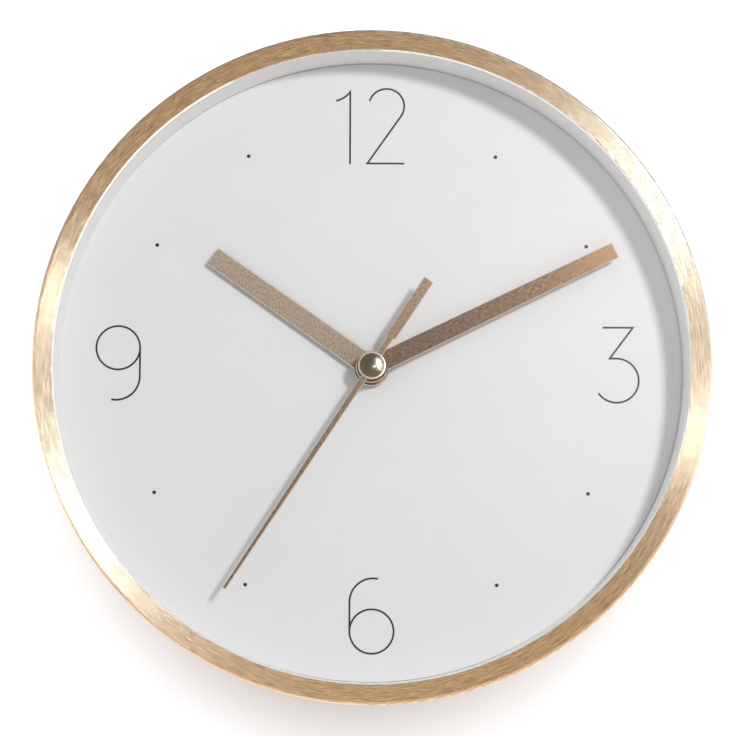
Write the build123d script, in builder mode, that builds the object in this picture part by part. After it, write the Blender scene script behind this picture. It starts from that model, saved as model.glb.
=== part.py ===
from build123d import *
from math import acos, cos, degrees, hypot, radians, sin
import os

# A round wall clock with a quartz movement. The origin is on the hands' axis in the wall plane.
# The front faces -Y, +Z is twelve o'clock, and heights are measured from the wall towards the viewer.
# All sizes are in millimetres and all angles in degrees.

HALF_TURN = 180.0

# Case and lens
CASE_RADIUS = 100.0
CASE_DEPTH = 41.0
CASE_WALL = 1.2
CASE_CLEARANCE = 0.4
RIM_WIDTH = 6.0
RIM_THICKNESS = 0.7
RIM_ROUND = 1.1
RIM_EDGE_ROUND = 0.2
TAB_COUNT = 6
TAB_WIDTH = 9.0
TAB_REACH = 3.0
TAB_THICKNESS = 1.0
TAB_SETBACK = 1.2
LENS_THICKNESS = 2.0

# Dial, its surround and its print
DIAL_DEPTH = 16.2
DIAL_THICKNESS = 0.8
DIAL_CLEARANCE = 0.4
SURROUND_WALL = 1.2
SURROUND_TAPER = 0.9
GROOVE_WIDTH = 0.25
GROOVE_SHIFT = 0.34
GROOVE_DROP = 0.09
GROOVE_DEPTH = 0.5
INK_THICKNESS = 0.06
DOT_RADIUS = 0.57
STROKE_WIDTH = 0.55

# Places of the dots and numerals, with margins measured inwards from the dial's visible edge
DOT_MARGIN = 18.55
TWELVE_MARGIN = 7.6
TWELVE_HEIGHT = 23.0
ONE_DROP = 1.0
ONE_STEM = -6.66
ONE_FLAG_REACH = 4.25
ONE_FLAG_DROP = 2.75
ONE_FLAG_SAG = 0.45
TWO_LEFT = -1.45
TWO_WIDTH = 11.15
TWO_BOWL_RADIUS = 5.35
TWO_BOWL_ANGLE = 163.0
THREE_MARGIN = 19.75
THREE_TOP = 12.7
THREE_BAR_REACH = 4.05
THREE_BAR = 9.1
THREE_NECK = 2.0
THREE_NECK_HEIGHT = 3.35
THREE_BOWL_RADIUS = 6.65
THREE_BOWL_ANGLE = 235.0
SIX_MARGIN = 14.8
SIX_SHIFT = 0.2
SIX_BOWL_RADIUS = 6.55
SIX_TAIL_RISE = 8.7
SIX_TAIL_RADIUS = 7.0
SIX_TAIL_ANGLE = 102.0
NINE_MARGIN = 17.25
NINE_RISE = 6.1

# Back pan
PAN_PLATE = 2.0
PAN_WALL = 1.8
RIB_COUNT = 12
RIB_THICKNESS = 1.6
RIB_HEIGHT = 6.0
RIB_RING_CLEARANCE = 2.4

# Hanger plate
HANGER_WIDTH = 20.0
HANGER_LENGTH = 40.0
HANGER_THICKNESS = 1.2
HANGER_MARGIN = 4.6
HANGER_SETBACK = 3.4
HANGER_SCREW_SPACING = 30.0
HANGER_POST_RADIUS = 4.0
KEYHOLE_RADIUS = 4.5
KEYHOLE_DROP = 5.0
KEYHOLE_SLOT_WIDTH = 4.6
KEYHOLE_SLOT_LENGTH = 10.0

# Screws
SCREW_RADIUS = 1.2
SCREW_LENGTH = 8.0
SCREW_HEAD_RADIUS = 2.6
SCREW_HEAD_HEIGHT = 1.5
SCREW_SLOT_LENGTH = 3.2
SCREW_SLOT_WIDTH = 0.7
SCREW_SLOT_DEPTH = 0.8
SCREW_CLEARANCE = 0.05

# Movement housing
MOVEMENT_DEPTH = 16.5
MOVEMENT_WALL = 1.2
MOVEMENT_CORNER = 3.0
WASHER_THICKNESS = 0.5
WASHER_RADIUS = 9.0
TUBE_RADIUS = 4.0
TUBE_RISE = 1.1
TUBE_CLEARANCE = 0.4
LUG_REACH = 8.0
LUG_WIDTH = 9.0
LUG_THICKNESS = 2.2
LUG_SETBACK = 7.3
LUG_POST_RADIUS = 3.2
LUG_CLEARANCE = 0.2

# Battery
CELL_RADIUS = 7.25
CELL_LENGTH = 49.3
CELL_ROUND = 0.6
NUB_RADIUS = 2.75
NUB_LENGTH = 1.2
CELL_CLEARANCE = 0.25
CONTACT_THICKNESS = 0.4
CONTACT_WIDTH = 8.0
CONTACT_LENGTH = 7.2
CONTACT_GAP = 0.1
LEAF_ROOM = 2.6

# Wheel train: teeth, modules and the directions of the wheels' axes from the hands' axis
ROTOR_LEAVES = 10
INTERMEDIATE_TEETH = 60
INTERMEDIATE_LEAVES = 12
SECOND_TEETH = 60
SECOND_LEAVES = 8
THIRD_TEETH = 60
THIRD_LEAVES = 8
CENTRE_TEETH = 64
CANNON_LEAVES = 12
MINUTE_TEETH = 36
MINUTE_LEAVES = 10
HOUR_TEETH = 40
ROTOR_MODULE = 0.3
SECOND_MODULE = 0.3
CENTRE_MODULE = 0.3
CANNON_MODULE = 0.5
THIRD_DIRECTION = 180.0
INTERMEDIATE_DIRECTION = 90.0
KNOB_DIRECTION = 20.0
ROTOR_DIRECTION = 30.0

# Tooth form, in modules, and wheel thicknesses and gaps along the axes
TOOTH_ADDENDUM = 0.95
TOOTH_DEDENDUM = 1.35
TOOTH_THICKNESS = 1.1
LEAF_ADDENDUM = 0.75
LEAF_THICKNESS = 0.9
TIP_SHARE = 0.45
WHEEL_THICKNESS = 1.1
WHEEL_GAP = 0.8
WHEEL_CLEARANCE = 0.5
HOUR_END_SHAKE = 0.3
LEAF_OVERHANG = 0.2
PIVOT_RADIUS = 0.5
PIVOT_DEPTH = 0.7
PIVOT_END_GAP = 0.15
RUNNING_CLEARANCE = 0.06
PRESS_CLEARANCE = 0.02
MINUTE_PIPE_RADIUS = 1.6
HOUR_PIPE_RADIUS = 2.5

# Motor, circuit board and setting knob
MAGNET_RADIUS = 3.0
MAGNET_LENGTH = 3.6
STATOR_THICKNESS = 1.0
STATOR_GAP = 0.6
STATOR_COLLAR = 2.9
STATOR_BAR = 3.0
STATOR_POST_RADIUS = 1.5
CORE_WIDTH = 3.0
CORE_THICKNESS = 1.0
BOBBIN_LENGTH = 19.0
BOBBIN_WALL = 0.6
BOBBIN_FLANGE = 0.8
BOBBIN_HEIGHT = 7.6
BOBBIN_MARGIN = 0.8
CORE_CLEARANCE = 0.1
WINDING_DEPTH = 1.4
BOARD_WIDTH = 13.0
BOARD_LENGTH = 20.0
BOARD_THICKNESS = 1.0
BOARD_RISE = 1.2
BOARD_MARGIN = 0.4
BOARD_POST_RADIUS = 1.4
BOARD_POST_SPACING = 13.0
CRYSTAL_RADIUS = 1.0
CRYSTAL_LENGTH = 6.0
CRYSTAL_OFFSET = 5.0
CHIP_RADIUS = 2.6
CHIP_HEIGHT = 0.9
CHIP_OFFSET = 5.0
KNOB_RADIUS = 5.0
KNOB_THICKNESS = 2.4
KNOB_GAP = 0.4
KNOB_SHAFT_RADIUS = 0.9
KNOB_BORE_DEPTH = 1.2
KNOB_FLUTES = 18
KNOB_FLUTE_RADIUS = 0.5

# Hands, with their angles clockwise from twelve
HAND_THICKNESS = 0.5
HAND_EDGE = 0.2
HOUR_RISE = 1.6
HOUR_LENGTH = 58.5
HOUR_ROOT_WIDTH = 6.4
HOUR_TIP_WIDTH = 5.8
HOUR_HUB_RADIUS = 5.4
HOUR_BUSH_RADIUS = 3.6
HOUR_BUSH_RISE = 0.7
HOUR_ANGLE = 305.2
MINUTE_RISE = 4.4
MINUTE_LENGTH = 81.0
MINUTE_ROOT_WIDTH = 5.9
MINUTE_TIP_WIDTH = 4.9
MINUTE_HUB_RADIUS = 4.75
MINUTE_BUSH_RADIUS = 2.6
MINUTE_BUSH_LENGTH = 1.4
MINUTE_ANGLE = 64.0
SECOND_RISE = 7.9
SECOND_LENGTH = 79.0
SECOND_ROOT_WIDTH = 2.0
SECOND_TIP_WIDTH = 1.1
SECOND_HUB_RADIUS = 2.2
SECOND_TUBE_RADIUS = 1.3
SECOND_TUBE_LENGTH = 1.6
SECOND_ANGLE = 213.2
TAIL_START = 10.1
TAIL_END = 30.9
TAIL_WIDTH = 3.25
CAP_RADIUS = 4.1
CAP_FLANGE = 0.45
CAP_EDGE = 0.2
DOME_RADIUS = 3.55
DOME_HEIGHT = 1.45

# Radii and heights that follow from the sizes above
FILL_RADIUS = CASE_RADIUS - CASE_WALL - CASE_CLEARANCE
RIM_INNER = CASE_RADIUS - RIM_WIDTH
LENS_FRONT = CASE_DEPTH - RIM_THICKNESS
LENS_REAR = LENS_FRONT - LENS_THICKNESS
DIAL_FACE = CASE_DEPTH - DIAL_DEPTH
DIAL_EDGE = RIM_INNER - SURROUND_TAPER
DIAL_RADIUS = FILL_RADIUS - SURROUND_WALL - DIAL_CLEARANCE
PAN_FRONT = DIAL_FACE - DIAL_THICKNESS
PLATE_REAR = PAN_FRONT - PAN_PLATE
PAN_REAR = TAB_SETBACK + TAB_THICKNESS
SKIRT_INNER = FILL_RADIUS - PAN_WALL
MOVEMENT_FRONT = PLATE_REAR - WASHER_THICKNESS
MOVEMENT_REAR = MOVEMENT_FRONT - MOVEMENT_DEPTH
CHAMBER_FRONT = MOVEMENT_FRONT - MOVEMENT_WALL
CHAMBER_REAR = MOVEMENT_REAR + MOVEMENT_WALL
TUBE_END = DIAL_FACE + TUBE_RISE
LUG_REAR = MOVEMENT_REAR + LUG_SETBACK
LUG_FRONT = LUG_REAR + LUG_THICKNESS
HANGER_FRONT = HANGER_SETBACK + HANGER_THICKNESS
HANGER_CENTRE = SKIRT_INNER - HANGER_MARGIN - HANGER_LENGTH / 2
HOUR_HAND = DIAL_FACE + HOUR_RISE
MINUTE_HAND = DIAL_FACE + MINUTE_RISE
SECOND_HAND = DIAL_FACE + SECOND_RISE
KNOB_REAR = MOVEMENT_REAR - KNOB_GAP - KNOB_THICKNESS

# Heights of the wheels' rear faces, from the dial side inwards
HOUR_WHEEL = CHAMBER_FRONT - HOUR_END_SHAKE - WHEEL_THICKNESS
CANNON = HOUR_WHEEL - WHEEL_GAP - WHEEL_THICKNESS
CENTRE_WHEEL = CANNON - WHEEL_GAP - WHEEL_THICKNESS
THIRD_WHEEL = CENTRE_WHEEL - WHEEL_GAP - WHEEL_THICKNESS
SECOND_WHEEL = THIRD_WHEEL - WHEEL_GAP - WHEEL_THICKNESS
INTERMEDIATE_WHEEL = SECOND_WHEEL - WHEEL_GAP - WHEEL_THICKNESS
LEAF_LENGTH = WHEEL_THICKNESS + 2 * LEAF_OVERHANG


def along(distance, direction, start=(0.0, 0.0)):
    """The point at a distance and a direction from a start, in the plane of the dial."""
    return (
        start[0] + distance * cos(radians(direction)),
        start[1] + distance * sin(radians(direction)),
    )


def centre_distance(module, teeth, leaves):
    """The distance between the axes of a wheel and a pinion in mesh."""
    return module * (teeth + leaves) / 2


def face(height, centre=(0.0, 0.0), turn=0.0):
    """The sketch plane at a height above the wall that faces the viewer."""
    right = (cos(radians(turn)), 0, sin(radians(turn)))
    return Plane(origin=(centre[0], -height, centre[1]), x_dir=right, z_dir=(0, -1, 0))


def across(x, y, height):
    """The sketch plane that faces +X, with its own x axis towards the viewer."""
    return Plane(origin=(x, -height, y), x_dir=(0, -1, 0), z_dir=(1, 0, 0))


def disc(height, radius, bore=0.0, centre=(0.0, 0.0)):
    """A round outline, with a round hole in it where a bore is given."""
    with BuildSketch(face(height, centre)) as outline:
        Circle(radius)
        if bore > 0:
            Circle(bore, mode=Mode.SUBTRACT)
    return outline.sketch


def turned(points):
    """The half section of a round piece, from points of radius and height."""
    with BuildSketch(Plane.XY) as section:
        with BuildLine():
            Polyline(*[(radius, -height) for radius, height in points], close=True)
        make_face()
    return section.sketch


def toothed(height, centre, teeth, module, phase, addendum, thickness):
    """A wheel's outline: radial flanks up to the pitch circle, then narrowing tips."""
    pitch_radius = module * teeth / 2
    root_radius = pitch_radius - TOOTH_DEDENDUM * module
    tip_radius = pitch_radius + addendum * module
    flank = degrees(thickness * module / 2 / pitch_radius)
    tip = flank * TIP_SHARE
    points = []
    for tooth in range(teeth):
        middle = phase + 2 * HALF_TURN * tooth / teeth
        for radius, angle in (
            (root_radius, -flank),
            (pitch_radius, -flank),
            (tip_radius, -tip),
            (tip_radius, tip),
            (pitch_radius, flank),
            (root_radius, flank),
        ):
            points.append(along(radius, middle + angle))
    with BuildSketch(face(height, centre)) as outline:
        with BuildLine():
            Polyline(*points, close=True)
        make_face()
    return outline.sketch


def wheel(height, centre, teeth, module, phase):
    """The outline of a large wheel."""
    return toothed(height, centre, teeth, module, phase, TOOTH_ADDENDUM, TOOTH_THICKNESS)


def pinion(height, centre, leaves, module, phase):
    """The outline of a small pinion, whose leaves are thinner and shorter."""
    return toothed(height, centre, leaves, module, phase, LEAF_ADDENDUM, LEAF_THICKNESS)


def meshed(phase, teeth, direction, driven_teeth):
    """The phase at which a driven wheel's teeth stand in the gaps of its driver."""
    offset = ((direction - phase) * teeth / (2 * HALF_TURN)) % 1
    return direction + HALF_TURN - (0.5 - offset) * 2 * HALF_TURN / driven_teeth


def hand(height, angle, blades, hub_radius, bore):
    """A hand's outline along its own +X: a round hub and straight blades, each narrowing evenly."""
    with BuildSketch(face(height, turn=90 - angle)) as outline:
        Circle(hub_radius)
        for start, end, start_width, end_width in blades:
            with BuildLine():
                Polyline(
                    (start, -start_width / 2),
                    (end, -end_width / 2),
                    (end, end_width / 2),
                    (start, start_width / 2),
                    close=True,
                )
            make_face()
        Circle(bore, mode=Mode.SUBTRACT)
    return outline.sketch


def screw_heads(centres, seat):
    """Cross-head screws that go in from the rear, with their heads' faces on a seat."""
    for centre in centres:
        extrude(disc(seat - SCREW_HEAD_HEIGHT, SCREW_HEAD_RADIUS, centre=centre), amount=SCREW_HEAD_HEIGHT)
        extrude(disc(seat, SCREW_RADIUS, centre=centre), amount=SCREW_LENGTH)
        with BuildSketch(face(seat - SCREW_HEAD_HEIGHT, centre)) as cross:
            Rectangle(SCREW_SLOT_LENGTH, SCREW_SLOT_WIDTH)
            Rectangle(SCREW_SLOT_WIDTH, SCREW_SLOT_LENGTH)
        extrude(cross.sketch, amount=SCREW_SLOT_DEPTH, mode=Mode.SUBTRACT)


# Axes of the wheels
AXIS = (0.0, 0.0)
THIRD_DISTANCE = centre_distance(CENTRE_MODULE, CENTRE_TEETH, THIRD_LEAVES)
THIRD_MODULE = 2 * THIRD_DISTANCE / (THIRD_TEETH + SECOND_LEAVES)
THIRD_AXIS = along(THIRD_DISTANCE, THIRD_DIRECTION)
INTERMEDIATE_AXIS = along(
    centre_distance(SECOND_MODULE, SECOND_TEETH, INTERMEDIATE_LEAVES), INTERMEDIATE_DIRECTION
)
ROTOR_AXIS = along(
    centre_distance(ROTOR_MODULE, INTERMEDIATE_TEETH, ROTOR_LEAVES), ROTOR_DIRECTION, INTERMEDIATE_AXIS
)
KNOB_DISTANCE = centre_distance(CANNON_MODULE, MINUTE_TEETH, CANNON_LEAVES)
HOUR_MODULE = 2 * KNOB_DISTANCE / (HOUR_TEETH + MINUTE_LEAVES)
KNOB_AXIS = along(KNOB_DISTANCE, KNOB_DIRECTION)

# Motor heights and places: the coil lies above the stator's bar
STATOR_REAR = SECOND_WHEEL + WHEEL_THICKNESS + WHEEL_GAP
STATOR_FRONT = STATOR_REAR + STATOR_THICKNESS
CORE_HEIGHT = STATOR_FRONT + CORE_THICKNESS / 2
BOBBIN_Y = ROTOR_AXIS[1] + STATOR_BAR / 2 + BOBBIN_MARGIN + BOBBIN_HEIGHT / 2
COLLAR_RADIUS = MAGNET_RADIUS + STATOR_GAP + STATOR_COLLAR
LEG_RIGHT = ROTOR_AXIS[0] - MAGNET_RADIUS - STATOR_GAP
BOBBIN_RIGHT = LEG_RIGHT - STATOR_BAR - BOBBIN_MARGIN
BOBBIN_LEFT = BOBBIN_RIGHT - BOBBIN_LENGTH
LEG_LEFT = BOBBIN_LEFT - BOBBIN_MARGIN
STATOR_POSTS = (
    (LEG_LEFT - STATOR_BAR / 2, ROTOR_AXIS[1]),
    along(COLLAR_RADIUS - STATOR_POST_RADIUS, 0, ROTOR_AXIS),
)

# Wheel chamber, up to the coil and down to the lowest wheel, and the battery bay across its foot
LOWEST_TIP = max(
    HOUR_MODULE * (HOUR_TEETH / 2 + TOOTH_ADDENDUM),
    CENTRE_MODULE * (CENTRE_TEETH / 2 + TOOTH_ADDENDUM),
    SECOND_MODULE * (SECOND_TEETH / 2 + TOOTH_ADDENDUM),
    THIRD_MODULE * (THIRD_TEETH / 2 + TOOTH_ADDENDUM),
)
CHAMBER_TOP = BOBBIN_Y + BOBBIN_HEIGHT / 2 + BOBBIN_MARGIN
CHAMBER_FOOT = -LOWEST_TIP - WHEEL_CLEARANCE
BAY_TOP = CHAMBER_FOOT - MOVEMENT_WALL
CELL_Y = BAY_TOP - CELL_CLEARANCE - CELL_RADIUS
BAY_FOOT = CELL_Y - CELL_RADIUS - CELL_CLEARANCE
CELL_HEIGHT = CHAMBER_FRONT - CELL_CLEARANCE - CELL_RADIUS
CHAMBER_WIDTH = LEAF_ROOM + CELL_LENGTH + NUB_LENGTH + CONTACT_GAP + CONTACT_THICKNESS
CHAMBER_HALF = CHAMBER_WIDTH / 2
NUB_END = CHAMBER_HALF - CONTACT_THICKNESS - CONTACT_GAP
CELL_FRONT_END = NUB_END - NUB_LENGTH
CELL_REAR_END = CELL_FRONT_END - CELL_LENGTH

# Outside of the movement, with its lugs, and the pan's rib ring round it
HALF_WIDTH = CHAMBER_HALF + MOVEMENT_WALL
MOVEMENT_WIDTH = 2 * HALF_WIDTH
MOVEMENT_TOP = CHAMBER_TOP + MOVEMENT_WALL
MOVEMENT_FOOT = BAY_FOOT - MOVEMENT_WALL
MOVEMENT_HEIGHT = MOVEMENT_TOP - MOVEMENT_FOOT
MOVEMENT_CENTRE = (0.0, (MOVEMENT_TOP + MOVEMENT_FOOT) / 2)
LUG_SCREW = HALF_WIDTH + LUG_REACH / 2
RIB_RING_INNER = hypot(HALF_WIDTH, max(MOVEMENT_TOP, -MOVEMENT_FOOT)) + RIB_RING_CLEARANCE

# Places of the board, the screws, the keyhole and the pivots
BOARD_CENTRE = (
    -CHAMBER_HALF + BOARD_MARGIN + BOARD_WIDTH / 2,
    CHAMBER_FOOT + BOARD_MARGIN + BOARD_LENGTH / 2,
)
BOARD_FRONT = CHAMBER_FRONT - BOARD_RISE
BOARD_REAR = BOARD_FRONT - BOARD_THICKNESS
BOARD_POSTS = (
    (BOARD_CENTRE[0], BOARD_CENTRE[1] - BOARD_POST_SPACING / 2),
    (BOARD_CENTRE[0], BOARD_CENTRE[1] + BOARD_POST_SPACING / 2),
)
LUG_SCREWS = ((-LUG_SCREW, 0.0), (LUG_SCREW, 0.0))
HANGER_SCREWS = (
    (0.0, HANGER_CENTRE - HANGER_SCREW_SPACING / 2),
    (0.0, HANGER_CENTRE + HANGER_SCREW_SPACING / 2),
)
KEYHOLE_CENTRE = (0.0, HANGER_CENTRE - KEYHOLE_DROP)
PIVOT_AXES = (THIRD_AXIS, INTERMEDIATE_AXIS, ROTOR_AXIS)
PIVOT_FRONT = CHAMBER_FRONT + PIVOT_DEPTH
PIVOT_REAR = CHAMBER_REAR - PIVOT_DEPTH
PIVOT_BORE = PIVOT_RADIUS + RUNNING_CLEARANCE

# Case ring: a thin wall with a flat rim in front and bent tabs behind the pan
with BuildPart() as case_ring:
    revolve(
        turned([
            (CASE_RADIUS, 0),
            (CASE_RADIUS, CASE_DEPTH),
            (RIM_INNER, CASE_DEPTH),
            (RIM_INNER, LENS_FRONT),
            (CASE_RADIUS - CASE_WALL, LENS_FRONT),
            (CASE_RADIUS - CASE_WALL, 0),
        ]),
        axis=Axis.Y,
    )
    rim_edges = case_ring.edges().filter_by(GeomType.CIRCLE).group_by(Axis.Y)[0].sort_by(SortBy.RADIUS)
    fillet(rim_edges[-1], RIM_ROUND)
    fillet(rim_edges[0], RIM_EDGE_ROUND)
    tab_length = TAB_REACH + CASE_WALL / 2
    with BuildSketch(face(TAB_SETBACK)):
        with PolarLocations(CASE_RADIUS - CASE_WALL / 2 - tab_length / 2, TAB_COUNT):
            Rectangle(tab_length, TAB_WIDTH)
    extrude(amount=TAB_THICKNESS)

# Lens: a flat glass behind the rim
with BuildPart() as lens:
    extrude(disc(LENS_REAR, FILL_RADIUS), amount=LENS_THICKNESS)

# Dial surround: the white tapering wall between the lens and the dial, with an outer skirt on the pan
with BuildPart() as dial_surround:
    revolve(
        turned([
            (RIM_INNER, LENS_REAR),
            (DIAL_EDGE + GROOVE_WIDTH, DIAL_FACE),
            (DIAL_EDGE + SURROUND_WALL, DIAL_FACE),
            (RIM_INNER + SURROUND_WALL, LENS_REAR - SURROUND_WALL),
            (FILL_RADIUS - SURROUND_WALL, LENS_REAR - SURROUND_WALL),
            (FILL_RADIUS - SURROUND_WALL, PAN_FRONT),
            (FILL_RADIUS, PAN_FRONT),
            (FILL_RADIUS, LENS_REAR),
        ]),
        axis=Axis.Y,
    )

# Dial: a thin plate with a hole for the movement's tube and a fine groove inside the surround's foot,
# widest on the right and running out on the left
with BuildPart() as dial:
    extrude(disc(PAN_FRONT, DIAL_RADIUS, TUBE_RADIUS + TUBE_CLEARANCE), amount=DIAL_THICKNESS)
    with BuildSketch(face(DIAL_FACE)):
        Circle(DIAL_EDGE + GROOVE_WIDTH)
        with Locations((-GROOVE_SHIFT, -GROOVE_DROP)):
            Circle(DIAL_EDGE, mode=Mode.SUBTRACT)
    extrude(amount=-GROOVE_DEPTH, mode=Mode.SUBTRACT)

# Numerals: thin printed strokes at twelve, three, six and nine
with BuildPart() as numerals:
    with BuildSketch(face(DIAL_FACE)):
        twelve_top = DIAL_EDGE - TWELVE_MARGIN
        twelve_base = twelve_top - TWELVE_HEIGHT
        one_top = twelve_top - ONE_DROP
        with BuildLine():
            Line((ONE_STEM, twelve_base - STROKE_WIDTH / 2), (ONE_STEM, one_top))
            SagittaArc(
                (ONE_STEM - ONE_FLAG_REACH, one_top - ONE_FLAG_DROP), (ONE_STEM, one_top), -ONE_FLAG_SAG
            )
        trace(line_width=STROKE_WIDTH)
        two_foot = Vector(TWO_LEFT, twelve_base)
        two_bowl = Vector(TWO_LEFT + TWO_WIDTH - TWO_BOWL_RADIUS, twelve_top - TWO_BOWL_RADIUS)
        foot_distance = (two_foot - two_bowl).length
        foot_angle = degrees(acos((two_bowl - two_foot).X / foot_distance)) - HALF_TURN
        two_leave = foot_angle + degrees(acos(TWO_BOWL_RADIUS / foot_distance))
        with BuildLine():
            CenterArc(two_bowl, TWO_BOWL_RADIUS, TWO_BOWL_ANGLE, two_leave - TWO_BOWL_ANGLE)
            Line(two_bowl + Vector(TWO_BOWL_RADIUS, 0).rotate(Axis.Z, two_leave), two_foot)
            Line(two_foot, two_foot + Vector(TWO_WIDTH, 0))
        trace(line_width=STROKE_WIDTH)
        three_middle = DIAL_EDGE - THREE_MARGIN
        three_left = three_middle - THREE_BAR_REACH
        three_corner = (three_left + THREE_BAR, THREE_TOP)
        three_neck = (three_middle - THREE_NECK, THREE_NECK_HEIGHT)
        three_bowl = (three_middle, THREE_NECK_HEIGHT - THREE_BOWL_RADIUS)
        with BuildLine():
            Line((three_left, THREE_TOP), three_corner)
            Line(three_corner, three_neck)
            Line(three_neck, (three_middle, THREE_NECK_HEIGHT))
            CenterArc(three_bowl, THREE_BOWL_RADIUS, 90, -THREE_BOWL_ANGLE)
        trace(line_width=STROKE_WIDTH)
        six_bowl = Vector(SIX_SHIFT, SIX_MARGIN - DIAL_EDGE)
        nine_bowl = Vector(NINE_MARGIN - DIAL_EDGE, NINE_RISE)
        for bowl, turn in ((six_bowl, 1), (nine_bowl, -1)):
            stem = bowl - Vector(SIX_BOWL_RADIUS, 0) * turn
            tail = stem + Vector(0, SIX_TAIL_RISE) * turn
            tail_start = HALF_TURN if turn > 0 else 0
            with Locations(bowl):
                Circle(SIX_BOWL_RADIUS + STROKE_WIDTH / 2)
                Circle(SIX_BOWL_RADIUS - STROKE_WIDTH / 2, mode=Mode.SUBTRACT)
            with BuildLine():
                Line(stem, tail)
                tail_centre = tail + Vector(SIX_TAIL_RADIUS, 0) * turn
                CenterArc(tail_centre, SIX_TAIL_RADIUS, tail_start, -SIX_TAIL_ANGLE)
            trace(line_width=STROKE_WIDTH)
    extrude(amount=INK_THICKNESS)

# Dots: one printed dot at each of the other eight hours
with BuildPart() as hour_dots:
    with BuildSketch(face(DIAL_FACE)):
        for hour in range(12):
            if hour % 3:
                with Locations(along(DIAL_EDGE - DOT_MARGIN, 90 - hour * 30)):
                    Circle(DOT_RADIUS)
    extrude(amount=INK_THICKNESS)

# Back pan: the plate behind the dial, its skirt, its ribs and the posts for the movement and the hanger
with BuildPart() as back_pan:
    extrude(disc(PLATE_REAR, FILL_RADIUS, TUBE_RADIUS + TUBE_CLEARANCE), amount=PAN_PLATE)
    extrude(disc(PAN_REAR, FILL_RADIUS, SKIRT_INNER), amount=PLATE_REAR - PAN_REAR)
    rib_ring_outer = RIB_RING_INNER + RIB_THICKNESS
    extrude(disc(PLATE_REAR - RIB_HEIGHT, rib_ring_outer, RIB_RING_INNER), amount=RIB_HEIGHT)
    rib_start = RIB_RING_INNER + RIB_THICKNESS / 2
    rib_end = FILL_RADIUS - PAN_WALL / 2
    with BuildSketch(face(PLATE_REAR - RIB_HEIGHT)):
        with PolarLocations((rib_start + rib_end) / 2, RIB_COUNT, start_angle=HALF_TURN / RIB_COUNT):
            Rectangle(rib_end - rib_start, RIB_THICKNESS)
    extrude(amount=RIB_HEIGHT)
    screw_bore = SCREW_RADIUS + SCREW_CLEARANCE
    for centres, seat, radius, grip in (
        (LUG_SCREWS, LUG_FRONT, LUG_POST_RADIUS, LUG_THICKNESS),
        (HANGER_SCREWS, HANGER_FRONT, HANGER_POST_RADIUS, HANGER_THICKNESS),
    ):
        for centre in centres:
            extrude(disc(seat, radius, centre=centre), amount=PLATE_REAR - seat)
            extrude(disc(seat, screw_bore, centre=centre), amount=SCREW_LENGTH - grip, mode=Mode.SUBTRACT)

# Hanger plate: a stamped strip with a keyhole, on two posts of the pan
with BuildPart() as hanger_plate:
    with BuildSketch(face(HANGER_SETBACK)):
        with Locations((0, HANGER_CENTRE)):
            RectangleRounded(HANGER_WIDTH, HANGER_LENGTH, HANGER_POST_RADIUS)
        with Locations(KEYHOLE_CENTRE):
            Circle(KEYHOLE_RADIUS, mode=Mode.SUBTRACT)
        slot_middle = KEYHOLE_CENTRE[1] + KEYHOLE_SLOT_LENGTH / 2
        with Locations((0, slot_middle)):
            SlotCenterToCenter(
                KEYHOLE_SLOT_LENGTH, KEYHOLE_SLOT_WIDTH, rotation=90, mode=Mode.SUBTRACT
            )
        with Locations(*HANGER_SCREWS):
            Circle(SCREW_RADIUS + SCREW_CLEARANCE, mode=Mode.SUBTRACT)
    extrude(amount=HANGER_THICKNESS)

# Screws of the hanger plate and of the movement
with BuildPart() as hanger_screws:
    screw_heads(HANGER_SCREWS, HANGER_SETBACK)

with BuildPart() as movement_screws:
    screw_heads(LUG_SCREWS, LUG_REAR)

# Rubber washer between the pan and the movement
with BuildPart() as rubber_washer:
    extrude(disc(MOVEMENT_FRONT, WASHER_RADIUS, TUBE_RADIUS + TUBE_CLEARANCE), amount=WASHER_THICKNESS)

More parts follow.
